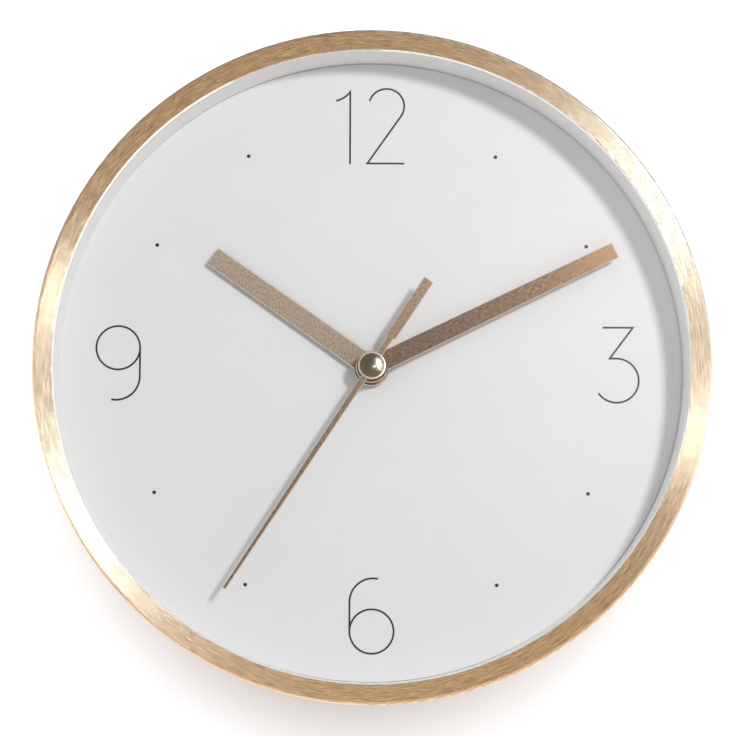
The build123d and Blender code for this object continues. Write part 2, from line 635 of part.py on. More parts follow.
# Movement front case: a box with a wheel chamber, a battery bay, a tube for the hands and two lugs
with BuildPart() as movement_front_case:
    with BuildSketch(face(CHAMBER_REAR)):
        with Locations(MOVEMENT_CENTRE):
            RectangleRounded(MOVEMENT_WIDTH, MOVEMENT_HEIGHT, MOVEMENT_CORNER)
    extrude(amount=MOVEMENT_FRONT - CHAMBER_REAR)
    with BuildSketch(face(CHAMBER_REAR)):
        with Locations((0, (CHAMBER_FOOT + CHAMBER_TOP) / 2)):
            Rectangle(CHAMBER_WIDTH, CHAMBER_TOP - CHAMBER_FOOT)
        with Locations((0, CELL_Y)):
            Rectangle(CHAMBER_WIDTH, BAY_TOP - BAY_FOOT)
    extrude(amount=CHAMBER_FRONT - CHAMBER_REAR, mode=Mode.SUBTRACT)
    lug_root = HALF_WIDTH - MOVEMENT_WALL / 2
    lug_end = HALF_WIDTH + LUG_REACH
    with BuildSketch(face(LUG_REAR)):
        for side in (-1, 1):
            with Locations((side * (lug_root + lug_end) / 2, 0)):
                Rectangle(lug_end - lug_root, LUG_WIDTH)
        with Locations(*LUG_SCREWS):
            Circle(SCREW_RADIUS + LUG_CLEARANCE, mode=Mode.SUBTRACT)
    extrude(amount=LUG_THICKNESS)
    extrude(disc(MOVEMENT_FRONT, TUBE_RADIUS), amount=TUBE_END - MOVEMENT_FRONT)
    for centre in STATOR_POSTS:
        extrude(disc(STATOR_FRONT, STATOR_POST_RADIUS, centre=centre), amount=CHAMBER_FRONT - STATOR_FRONT)
    for centre in BOARD_POSTS:
        extrude(disc(BOARD_FRONT, BOARD_POST_RADIUS, centre=centre), amount=BOARD_RISE)
    for centre in (*PIVOT_AXES, KNOB_AXIS):
        extrude(
            disc(CHAMBER_FRONT, PIVOT_BORE, centre=centre),
            amount=PIVOT_DEPTH + PIVOT_END_GAP,
            mode=Mode.SUBTRACT,
        )
    extrude(
        disc(CHAMBER_FRONT, HOUR_PIPE_RADIUS + RUNNING_CLEARANCE),
        amount=TUBE_END - CHAMBER_FRONT,
        mode=Mode.SUBTRACT,
    )

# Movement rear cover: a plate with the rear bearings, open at the battery bay
with BuildPart() as movement_rear_cover:
    with BuildSketch(face(MOVEMENT_REAR)):
        with Locations(MOVEMENT_CENTRE):
            RectangleRounded(MOVEMENT_WIDTH, MOVEMENT_HEIGHT, MOVEMENT_CORNER)
        with Locations((0, CELL_Y)):
            Rectangle(CHAMBER_WIDTH, BAY_TOP - BAY_FOOT, mode=Mode.SUBTRACT)
        with Locations(KNOB_AXIS):
            Circle(KNOB_SHAFT_RADIUS + RUNNING_CLEARANCE, mode=Mode.SUBTRACT)
    extrude(amount=MOVEMENT_WALL)
    for centre in (*PIVOT_AXES, AXIS):
        extrude(
            disc(PIVOT_REAR - PIVOT_END_GAP, PIVOT_BORE, centre=centre),
            amount=PIVOT_DEPTH + PIVOT_END_GAP,
            mode=Mode.SUBTRACT,
        )

# Stator: a flat plate from the coil core's ends to a collar round the rotor
with BuildPart() as stator:
    with BuildSketch(face(STATOR_REAR)):
        leg_top = BOBBIN_Y + CORE_WIDTH / 2
        bar_foot = ROTOR_AXIS[1] - STATOR_BAR / 2
        with Locations(ROTOR_AXIS):
            Circle(COLLAR_RADIUS)
        for left, right in ((LEG_LEFT - STATOR_BAR, LEG_LEFT), (LEG_RIGHT - STATOR_BAR, LEG_RIGHT)):
            with Locations(((left + right) / 2, (bar_foot + leg_top) / 2)):
                Rectangle(right - left, leg_top - bar_foot)
        bar_left = LEG_LEFT - STATOR_BAR
        with Locations(((bar_left + ROTOR_AXIS[0]) / 2, ROTOR_AXIS[1])):
            Rectangle(ROTOR_AXIS[0] - bar_left, STATOR_BAR)
        with Locations(ROTOR_AXIS):
            Circle(MAGNET_RADIUS + STATOR_GAP, mode=Mode.SUBTRACT)
    extrude(amount=STATOR_THICKNESS)

# Coil: a core bar on the stator's legs, a flanged bobbin on the core and a winding on the bobbin
with BuildPart() as coil_core:
    with BuildSketch(across(LEG_LEFT - STATOR_BAR, BOBBIN_Y, CORE_HEIGHT)):
        Rectangle(CORE_THICKNESS, CORE_WIDTH)
    extrude(amount=LEG_RIGHT - LEG_LEFT + STATOR_BAR)

hole_height = CORE_THICKNESS + 2 * CORE_CLEARANCE
hole_width = CORE_WIDTH + 2 * CORE_CLEARANCE
spool_height = hole_height + 2 * BOBBIN_WALL
spool_width = hole_width + 2 * BOBBIN_WALL
winding_height = spool_height + 2 * WINDING_DEPTH
winding_width = spool_width + 2 * WINDING_DEPTH

with BuildPart() as coil_bobbin:
    with BuildSketch(across(BOBBIN_LEFT, BOBBIN_Y, CORE_HEIGHT)):
        Rectangle(spool_height, spool_width)
    extrude(amount=BOBBIN_LENGTH)
    for flange in (BOBBIN_LEFT, BOBBIN_RIGHT - BOBBIN_FLANGE):
        with BuildSketch(across(flange, BOBBIN_Y, CORE_HEIGHT)):
            Rectangle(BOBBIN_HEIGHT, BOBBIN_HEIGHT)
        extrude(amount=BOBBIN_FLANGE)
    with BuildSketch(across(BOBBIN_LEFT, BOBBIN_Y, CORE_HEIGHT)):
        Rectangle(hole_height, hole_width)
    extrude(amount=BOBBIN_LENGTH, mode=Mode.SUBTRACT)

with BuildPart() as coil_winding:
    with BuildSketch(across(BOBBIN_LEFT + BOBBIN_FLANGE, BOBBIN_Y, CORE_HEIGHT)):
        RectangleRounded(winding_height, winding_width, WINDING_DEPTH)
        Rectangle(spool_height, spool_width, mode=Mode.SUBTRACT)
    extrude(amount=BOBBIN_LENGTH - 2 * BOBBIN_FLANGE)

# Circuit board on its posts, with the crystal and the chip on its rear face
with BuildPart() as circuit_board:
    with BuildSketch(face(BOARD_REAR, BOARD_CENTRE)):
        Rectangle(BOARD_WIDTH, BOARD_LENGTH)
    extrude(amount=BOARD_THICKNESS)

with BuildPart() as quartz_crystal:
    crystal_left = BOARD_CENTRE[0] - CRYSTAL_LENGTH / 2
    crystal_y = BOARD_CENTRE[1] + CRYSTAL_OFFSET
    with BuildSketch(across(crystal_left, crystal_y, BOARD_REAR - CRYSTAL_RADIUS - PRESS_CLEARANCE)):
        Circle(CRYSTAL_RADIUS)
    extrude(amount=CRYSTAL_LENGTH)

with BuildPart() as timing_chip:
    chip_centre = (BOARD_CENTRE[0], BOARD_CENTRE[1] - CHIP_OFFSET)
    extrude(disc(BOARD_REAR - CHIP_HEIGHT, CHIP_RADIUS, centre=chip_centre), amount=CHIP_HEIGHT)

# Battery contacts: a plate at the positive end and a bent leaf at the negative end
with BuildPart() as positive_contact:
    with BuildSketch(across(CHAMBER_HALF - CONTACT_THICKNESS, CELL_Y, CELL_HEIGHT)):
        Rectangle(CONTACT_LENGTH, CONTACT_WIDTH)
    extrude(amount=CONTACT_THICKNESS)

with BuildPart() as negative_contact:
    leaf_wall = -CHAMBER_HALF + CONTACT_THICKNESS / 2
    leaf_tip = CELL_REAR_END - CONTACT_GAP - CONTACT_THICKNESS
    leaf_front = (leaf_wall, -CELL_HEIGHT - CONTACT_LENGTH / 2)
    leaf_bend = (leaf_wall, -CELL_HEIGHT + CONTACT_LENGTH / 2)
    with BuildSketch(Plane.XY.offset(CELL_Y - CONTACT_WIDTH / 2)):
        with BuildLine():
            Line(leaf_front, leaf_bend)
            Line(leaf_bend, (leaf_tip, -CELL_HEIGHT))
        trace(line_width=CONTACT_THICKNESS)
        with Locations(leaf_bend):
            Circle(CONTACT_THICKNESS / 2)
    extrude(amount=CONTACT_WIDTH)

# Battery: a round cell with its positive cap
with BuildPart() as battery_cell:
    with BuildSketch(across(CELL_REAR_END, CELL_Y, CELL_HEIGHT)):
        Circle(CELL_RADIUS)
    extrude(amount=CELL_LENGTH)
    fillet(battery_cell.edges().filter_by(GeomType.CIRCLE), CELL_ROUND)

with BuildPart() as battery_cap:
    with BuildSketch(across(CELL_FRONT_END, CELL_Y, CELL_HEIGHT)):
        Circle(NUB_RADIUS)
    extrude(amount=NUB_LENGTH)

# Rotor: a magnet and a pinion on one arbor
rotor_phase = meshed(0, INTERMEDIATE_TEETH, ROTOR_DIRECTION, ROTOR_LEAVES)
with BuildPart() as rotor_pinion:
    extrude(disc(PIVOT_REAR, PIVOT_RADIUS, centre=ROTOR_AXIS), amount=PIVOT_FRONT - PIVOT_REAR)
    extrude(
        pinion(INTERMEDIATE_WHEEL - LEAF_OVERHANG, ROTOR_AXIS, ROTOR_LEAVES, ROTOR_MODULE, rotor_phase),
        amount=LEAF_LENGTH,
    )

with BuildPart() as rotor_magnet:
    magnet_rear = (STATOR_REAR + STATOR_FRONT - MAGNET_LENGTH) / 2
    extrude(
        disc(magnet_rear, MAGNET_RADIUS, PIVOT_RADIUS + PRESS_CLEARANCE, ROTOR_AXIS), amount=MAGNET_LENGTH
    )

# Intermediate wheel: driven by the rotor, it drives the second wheel
intermediate_phase = meshed(0, SECOND_TEETH, INTERMEDIATE_DIRECTION, INTERMEDIATE_LEAVES)
with BuildPart() as intermediate_wheel:
    extrude(disc(PIVOT_REAR, PIVOT_RADIUS, centre=INTERMEDIATE_AXIS), amount=PIVOT_FRONT - PIVOT_REAR)
    extrude(
        wheel(INTERMEDIATE_WHEEL, INTERMEDIATE_AXIS, INTERMEDIATE_TEETH, ROTOR_MODULE, 0),
        amount=WHEEL_THICKNESS,
    )
    leaf_rear = INTERMEDIATE_WHEEL + WHEEL_THICKNESS
    leaf_front = SECOND_WHEEL + WHEEL_THICKNESS + LEAF_OVERHANG
    extrude(
        pinion(leaf_rear, INTERMEDIATE_AXIS, INTERMEDIATE_LEAVES, SECOND_MODULE, intermediate_phase),
        amount=leaf_front - leaf_rear,
    )

# Second wheel: its arbor runs through both pipes to the second hand
with BuildPart() as second_wheel:
    extrude(disc(PIVOT_REAR, PIVOT_RADIUS), amount=SECOND_HAND + HAND_THICKNESS - PIVOT_REAR)
    extrude(wheel(SECOND_WHEEL, AXIS, SECOND_TEETH, SECOND_MODULE, 0), amount=WHEEL_THICKNESS)
    leaf_rear = SECOND_WHEEL + WHEEL_THICKNESS
    leaf_front = THIRD_WHEEL + WHEEL_THICKNESS + LEAF_OVERHANG
    extrude(pinion(leaf_rear, AXIS, SECOND_LEAVES, THIRD_MODULE, 0), amount=leaf_front - leaf_rear)

# Third wheel: driven by the second wheel's pinion, it drives the centre wheel
third_phase = meshed(0, SECOND_LEAVES, THIRD_DIRECTION, THIRD_TEETH)
with BuildPart() as third_wheel:
    extrude(disc(PIVOT_REAR, PIVOT_RADIUS, centre=THIRD_AXIS), amount=PIVOT_FRONT - PIVOT_REAR)
    extrude(wheel(THIRD_WHEEL, THIRD_AXIS, THIRD_TEETH, THIRD_MODULE, third_phase), amount=WHEEL_THICKNESS)
    leaf_rear = THIRD_WHEEL + WHEEL_THICKNESS
    leaf_front = CENTRE_WHEEL + WHEEL_THICKNESS + LEAF_OVERHANG
    extrude(pinion(leaf_rear, THIRD_AXIS, THIRD_LEAVES, CENTRE_MODULE, 0), amount=leaf_front - leaf_rear)

# Centre wheel: one turn an hour, with the cannon pinion and the minute hand's pipe
centre_phase = meshed(0, THIRD_LEAVES, THIRD_DIRECTION + HALF_TURN, CENTRE_TEETH)
with BuildPart() as centre_wheel:
    extrude(wheel(CENTRE_WHEEL, AXIS, CENTRE_TEETH, CENTRE_MODULE, centre_phase), amount=WHEEL_THICKNESS)
    leaf_rear = CENTRE_WHEEL + WHEEL_THICKNESS
    leaf_front = CANNON + WHEEL_THICKNESS + LEAF_OVERHANG
    extrude(pinion(leaf_rear, AXIS, CANNON_LEAVES, CANNON_MODULE, 0), amount=leaf_front - leaf_rear)
    pipe_length = MINUTE_HAND + HAND_THICKNESS - CENTRE_WHEEL
    extrude(disc(CENTRE_WHEEL, MINUTE_PIPE_RADIUS), amount=pipe_length)
    extrude(disc(CENTRE_WHEEL, PIVOT_BORE), amount=pipe_length, mode=Mode.SUBTRACT)

# Minute wheel: on the setting knob's shaft, it joins the cannon pinion to the hour wheel
minute_phase = meshed(0, CANNON_LEAVES, KNOB_DIRECTION, MINUTE_TEETH)
with BuildPart() as minute_wheel:
    extrude(disc(CHAMBER_FRONT - HOUR_END_SHAKE, PIVOT_RADIUS, centre=KNOB_AXIS), amount=PIVOT_DEPTH)
    shaft_rear = KNOB_REAR + KNOB_THICKNESS - KNOB_BORE_DEPTH
    extrude(disc(shaft_rear, KNOB_SHAFT_RADIUS, centre=KNOB_AXIS), amount=CANNON - shaft_rear)
    extrude(wheel(CANNON, KNOB_AXIS, MINUTE_TEETH, CANNON_MODULE, minute_phase), amount=WHEEL_THICKNESS)
    leaf_rear = CANNON + WHEEL_THICKNESS
    leaf_front = HOUR_WHEEL + WHEEL_THICKNESS
    extrude(pinion(leaf_rear, KNOB_AXIS, MINUTE_LEAVES, HOUR_MODULE, 0), amount=leaf_front - leaf_rear)

# Setting knob: a fluted button pressed on the minute wheel's shaft, behind the cover
with BuildPart() as setting_knob:
    extrude(disc(KNOB_REAR, KNOB_RADIUS, centre=KNOB_AXIS), amount=KNOB_THICKNESS)
    with BuildSketch(face(KNOB_REAR, KNOB_AXIS)):
        with PolarLocations(KNOB_RADIUS, KNOB_FLUTES):
            Circle(KNOB_FLUTE_RADIUS)
    extrude(amount=KNOB_THICKNESS, mode=Mode.SUBTRACT)
    extrude(
        disc(shaft_rear, KNOB_SHAFT_RADIUS + PRESS_CLEARANCE, centre=KNOB_AXIS),
        amount=KNOB_BORE_DEPTH,
        mode=Mode.SUBTRACT,
    )

# Hour wheel: one turn in twelve hours, with the hour hand's pipe
hour_phase = meshed(0, MINUTE_LEAVES, KNOB_DIRECTION + HALF_TURN, HOUR_TEETH)
with BuildPart() as hour_wheel:
    extrude(wheel(HOUR_WHEEL, AXIS, HOUR_TEETH, HOUR_MODULE, hour_phase), amount=WHEEL_THICKNESS)
    pipe_length = HOUR_HAND + HAND_THICKNESS + HOUR_BUSH_RISE - HOUR_WHEEL
    extrude(disc(HOUR_WHEEL, HOUR_PIPE_RADIUS), amount=pipe_length)
    extrude(
        disc(HOUR_WHEEL, MINUTE_PIPE_RADIUS + RUNNING_CLEARANCE), amount=pipe_length, mode=Mode.SUBTRACT
    )

# Hour hand and its bush
with BuildPart() as hour_hand:
    hour_blade = (0, HOUR_LENGTH, HOUR_ROOT_WIDTH, HOUR_TIP_WIDTH)
    hour_bore = HOUR_PIPE_RADIUS + PRESS_CLEARANCE
    extrude(hand(HOUR_HAND, HOUR_ANGLE, [hour_blade], HOUR_HUB_RADIUS, hour_bore), amount=HAND_THICKNESS)
    chamfer(hour_hand.edges().group_by(Axis.Y)[0], HAND_EDGE)

with BuildPart() as hour_bush:
    extrude(disc(HOUR_HAND + HAND_THICKNESS, HOUR_BUSH_RADIUS, hour_bore), amount=HOUR_BUSH_RISE)

# Minute hand and its bush
with BuildPart() as minute_hand:
    minute_blade = (0, MINUTE_LENGTH, MINUTE_ROOT_WIDTH, MINUTE_TIP_WIDTH)
    minute_bore = MINUTE_PIPE_RADIUS + PRESS_CLEARANCE
    extrude(
        hand(MINUTE_HAND, MINUTE_ANGLE, [minute_blade], MINUTE_HUB_RADIUS, minute_bore),
        amount=HAND_THICKNESS,
    )
    chamfer(minute_hand.edges().group_by(Axis.Y)[0], HAND_EDGE)

with BuildPart() as minute_bush:
    bush_rear = MINUTE_HAND - MINUTE_BUSH_LENGTH
    extrude(disc(bush_rear, MINUTE_BUSH_RADIUS, minute_bore), amount=MINUTE_BUSH_LENGTH)

# Second hand with its counterweight tail, its tube and the domed cap
with BuildPart() as second_hand:
    second_blades = [
        (0, SECOND_LENGTH, SECOND_ROOT_WIDTH, SECOND_TIP_WIDTH),
        (0, -TAIL_START, SECOND_ROOT_WIDTH, SECOND_ROOT_WIDTH),
        (-TAIL_START, -TAIL_END, TAIL_WIDTH, TAIL_WIDTH),
    ]
    second_bore = PIVOT_RADIUS + PRESS_CLEARANCE
    extrude(
        hand(SECOND_HAND, SECOND_ANGLE, second_blades, SECOND_HUB_RADIUS, second_bore),
        amount=HAND_THICKNESS,
    )
    chamfer(second_hand.edges().group_by(Axis.Y)[0], HAND_EDGE)

with BuildPart() as second_tube:
    tube_rear = SECOND_HAND - SECOND_TUBE_LENGTH
    extrude(disc(tube_rear, SECOND_TUBE_RADIUS, second_bore), amount=SECOND_TUBE_LENGTH)

with BuildPart() as centre_cap:
    cap_base = SECOND_HAND + HAND_THICKNESS
    dome_base = cap_base + CAP_FLANGE
    dome_top = dome_base + DOME_HEIGHT
    dome_curve = (DOME_RADIUS**2 + DOME_HEIGHT**2) / (2 * DOME_HEIGHT)
    with BuildSketch(Plane.XY) as cap_profile:
        with BuildLine():
            Polyline(
                (0, -dome_top),
                (0, -cap_base),
                (CAP_RADIUS, -cap_base),
                (CAP_RADIUS, -dome_base),
                (DOME_RADIUS, -dome_base),
            )
            RadiusArc((DOME_RADIUS, -dome_base), (0, -dome_top), dome_curve)
        make_face()
        flange_corners = cap_profile.vertices().sort_by(Axis.X)[-2:]
        fillet(flange_corners.sort_by(Axis.Y)[0], CAP_EDGE)
    revolve(axis=Axis.Y)

pieces = {
    "case_ring": case_ring,
    "lens": lens,
    "dial_surround": dial_surround,
    "dial": dial,
    "numerals": numerals,
    "hour_dots": hour_dots,
    "back_pan": back_pan,
    "hanger_plate": hanger_plate,
    "hanger_screws": hanger_screws,
    "movement_screws": movement_screws,
    "rubber_washer": rubber_washer,
    "movement_front_case": movement_front_case,
    "movement_rear_cover": movement_rear_cover,
    "stator": stator,
    "coil_core": coil_core,
    "coil_bobbin": coil_bobbin,
    "coil_winding": coil_winding,
    "circuit_board": circuit_board,
    "quartz_crystal": quartz_crystal,
    "timing_chip": timing_chip,
    "positive_contact": positive_contact,
    "negative_contact": negative_contact,
    "battery_cell": battery_cell,
    "battery_cap": battery_cap,
    "rotor_pinion": rotor_pinion,
    "rotor_magnet": rotor_magnet,
    "intermediate_wheel": intermediate_wheel,
    "second_wheel": second_wheel,
    "third_wheel": third_wheel,
    "centre_wheel": centre_wheel,
    "minute_wheel": minute_wheel,
    "setting_knob": setting_knob,
    "hour_wheel": hour_wheel,
    "hour_hand": hour_hand,
    "hour_bush": hour_bush,
    "minute_hand": minute_hand,
    "minute_bush": minute_bush,
    "second_hand": second_hand,
    "second_tube": second_tube,
    "centre_cap": centre_cap,
}
os.makedirs("parts", exist_ok=True)
for name, piece in pieces.items():
    piece.part.label = name
    export_step(piece.part, f"parts/{name}.step")
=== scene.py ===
"""Looks of a round wall clock with a brushed metal rim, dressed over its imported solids.

Lengths are in metres. The dial faces -Y, the wall stands at Y = 0 and +Z is twelve o'clock.
"""

import logging
import math
from dataclasses import dataclass
from enum import Enum
from typing import Any, Callable, ClassVar, Sequence

import bmesh
import bpy
from mathutils import Matrix, Vector


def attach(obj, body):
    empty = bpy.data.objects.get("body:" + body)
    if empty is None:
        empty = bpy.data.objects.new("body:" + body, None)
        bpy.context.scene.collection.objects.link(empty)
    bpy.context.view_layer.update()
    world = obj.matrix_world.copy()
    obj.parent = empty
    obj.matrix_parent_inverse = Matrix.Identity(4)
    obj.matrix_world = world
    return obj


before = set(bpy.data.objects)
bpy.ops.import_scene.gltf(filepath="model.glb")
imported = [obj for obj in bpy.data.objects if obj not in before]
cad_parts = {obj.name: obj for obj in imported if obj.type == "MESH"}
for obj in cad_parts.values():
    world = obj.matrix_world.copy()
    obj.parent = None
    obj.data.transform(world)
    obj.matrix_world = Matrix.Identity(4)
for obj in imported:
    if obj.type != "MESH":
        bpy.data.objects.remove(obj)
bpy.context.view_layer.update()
LOG = logging.getLogger("wall_clock")

Span = tuple[float, float]
Triple = tuple[float, float, float]
Colour = Triple
MM = 0.001
WHITE = (1.0, 1.0, 1.0)
HALF_TURN = Matrix.Rotation(math.pi, 4, "Y")


class Value:
    """A socket of a material whose arithmetic in Python adds Math nodes."""

    def __init__(self, paint: "Paint", socket: bpy.types.NodeSocket) -> None:
        """Keeps the socket and the paint that it belongs to.

        Args:
            paint: the material.
            socket: the output socket that carries the value.
        """
        self.paint = paint
        self.socket = socket

    def __add__(self, other: "Value | float") -> "Value":
        """This value plus the other."""
        return self.paint.maths("ADD", self, other)

    __radd__ = __add__

    def __sub__(self, other: "Value | float") -> "Value":
        """This value less the other."""
        return self.paint.maths("SUBTRACT", self, other)

    def __rsub__(self, other: "Value | float") -> "Value":
        """The other value less this one."""
        return self.paint.maths("SUBTRACT", other, self)

    def __mul__(self, other: "Value | float") -> "Value":
        """This value times the other."""
        return self.paint.maths("MULTIPLY", self, other)

    __rmul__ = __mul__

    def __truediv__(self, other: "Value | float") -> "Value":
        """This value over the other."""
        return self.paint.maths("DIVIDE", self, other)

    def __rtruediv__(self, other: "Value | float") -> "Value":
        """The other value over this one."""
        return self.paint.maths("DIVIDE", other, self)

    def __pow__(self, other: "Value | float") -> "Value":
        """This value to the power of the other."""
        return self.paint.maths("POWER", self, other)

    def __rpow__(self, other: "Value | float") -> "Value":
        """The other value to the power of this one."""
        return self.paint.maths("POWER", other, self)

    def __gt__(self, other: "Value | float") -> "Value":
        """One where this value is the larger, and nought elsewhere."""
        return self.paint.maths("GREATER_THAN", self, other)

    def __lt__(self, other: "Value | float") -> "Value":
        """One where this value is the smaller, and nought elsewhere."""
        return self.paint.maths("LESS_THAN", self, other)

    def __abs__(self) -> "Value":
        """The size of this value without its sign."""
        return self.paint.maths("ABSOLUTE", self)

    def swing(self, reach: float) -> "Value":
        """This noise as a swing about nought, as wide as the reach."""
        return (self - 0.5) * reach


class Paint:
    """The nodes of one material, made and linked one at a time."""

    def __init__(self, owner: bpy.types.ID) -> None:
        """Clears the owner's node tree for new nodes.

        Args:
            owner: a material or a world.
        """
        owner.use_nodes = True
        self.tree = owner.node_tree
        self.tree.nodes.clear()

    def node(
        self,
        kind: str,
        settings: dict[str, Any] | None = None,
        sockets: dict[str | int, Any] | None = None,
        output: str | int = 0,
    ) -> Value:
        """Adds a node, sets it up and feeds its sockets.

        Args:
            kind: the node's type.
            settings: the node's own properties, set first.
            sockets: a number, colour or Value for each named or numbered input.
            output: the output that is handed back.

        Returns:
            The chosen output.
        """
        made = self.tree.nodes.new(kind)
        for name, value in (settings or {}).items():
            setattr(made, name, value)
        for name, value in (sockets or {}).items():
            if isinstance(value, Value):
                self.tree.links.new(value.socket, made.inputs[name])
            else:
                made.inputs[name].default_value = value
        return Value(self, made.outputs[output] if len(made.outputs) else None)

    def maths(self, operation: str, *terms: Value | float) -> Value:
        """One Math node on the given terms."""
        return self.node("ShaderNodeMath", {"operation": operation}, dict(enumerate(terms)))

    def vector_maths(self, operation: str, *terms: Value) -> Value:
        """One Vector Math node on the given terms."""
        return self.node("ShaderNodeVectorMath", {"operation": operation}, dict(enumerate(terms)))

    def point(self) -> Value:
        """The point itself, in the piece's frame."""
        return self.node("ShaderNodeTexCoord", output="Object")

    def position(self) -> tuple[Value, Value, Value]:
        """Takes the point apart.

        Returns:
            The point's own three coordinates, in the piece's frame.
        """
        parts = ("X", "Y", "Z")
        first = self.node("ShaderNodeSeparateXYZ", None, {"Vector": self.point()}, parts[0])
        outputs = first.socket.node.outputs
        return tuple(Value(self, outputs[name]) for name in parts)

    def radius(self, x: Value, z: Value) -> Value:
        """How far a point is from the hands' axis."""
        return (x * x + z * z) ** 0.5

    def vector(self, x: Value | float, y: Value | float, z: Value | float) -> Value:
        """A vector of three values."""
        return self.node("ShaderNodeCombineXYZ", None, {"X": x, "Y": y, "Z": z})

    def to_world(self, way: Value) -> Value:
        """A direction in the piece's frame, turned into the room's."""
        turn = {"vector_type": "VECTOR", "convert_from": "OBJECT", "convert_to": "WORLD"}
        return self.node("ShaderNodeVectorTransform", turn, {"Vector": way})

    def noise(self, where: Value, scale: float, detail: float = 2.0, rough: float = 0.5) -> Value:
        """Smooth noise from 0 to 1.

        Args:
            where: the vector that the noise is read at.
            scale: features per metre of that vector.
            detail: octaves of finer noise added to it.
            rough: the share that each finer octave has.

        Returns:
            The noise's value.
        """
        sockets = {"Vector": where, "Scale": scale, "Detail": detail, "Roughness": rough}
        return self.node("ShaderNodeTexNoise", None, sockets)

    def between(self, share: Value, ends: Span, start: float = 0.0, end: float = 1.0) -> Value:
        """A value eased from start to end as share goes between two ends.

        Args:
            share: the value that leads.
            ends: where the easing begins and where it ends.
            start: the value before it.
            end: the value after it.

        Returns:
            The eased value.
        """
        settings = {"interpolation_type": "SMOOTHSTEP"}
        sockets = {"Value": share, 1: ends[0], 2: ends[1], 3: start, 4: end}
        return self.node("ShaderNodeMapRange", settings, sockets)

    def blend(self, share: Value, first: Colour | Value, second: Colour | Value) -> Value:
        """Two colours mixed.

        Args:
            share: how much there is of the second.
            first: the colour at nought.
            second: the colour at one.

        Returns:
            The mixed colour.
        """
        pair = [c if isinstance(c, Value) else (*c, 1.0) for c in (first, second)]
        sockets = {0: share, 6: pair[0], 7: pair[1]}
        return self.node("ShaderNodeMix", {"data_type": "RGBA"}, sockets, 2)

    def bump(self, height: Value, depth: float) -> Value:
        """A normal that leans with a height.

        Args:
            height: the height over the surface, from 0 to 1.
            depth: how far one is from nought, in metres.

        Returns:
            The leaning normal.
        """
        sockets = {"Height": height, "Distance": depth, "Strength": 1.0}
        return self.node("ShaderNodeBump", None, sockets)

    def surface(self, sockets: dict[str, Any]) -> None:
        """Ends the nodes in a shader with the given sockets."""
        self.finish(self.node("ShaderNodeBsdfPrincipled", None, sockets))

    def finish(self, shader: Value, target: str = "ShaderNodeOutputMaterial") -> None:
        """Ends the nodes in their output."""
        self.node(target, None, {"Surface": shader})


class Finish:
    """Something a piece is dressed in: a material made once and shared."""

    title: str
    _made: ClassVar[dict[str, bpy.types.Material]] = {}

    def material(self) -> bpy.types.Material:
        """Paints the material the first time it is asked for.

        Returns:
            The finish's material.
        """
        if self.title not in self._made:
            made = bpy.data.materials.new(self.title)
            self.paint(Paint(made))
            self._made[self.title] = made
        return self._made[self.title]

    def paint(self, paint: Paint) -> None:
        """Adds the finish's nodes to its material."""
        raise NotImplementedError


class Brush(Enum):
    """Which way a metal was brushed."""

    ROUND = "round the hands' axis"
    STRAIGHT = "in straight lines"


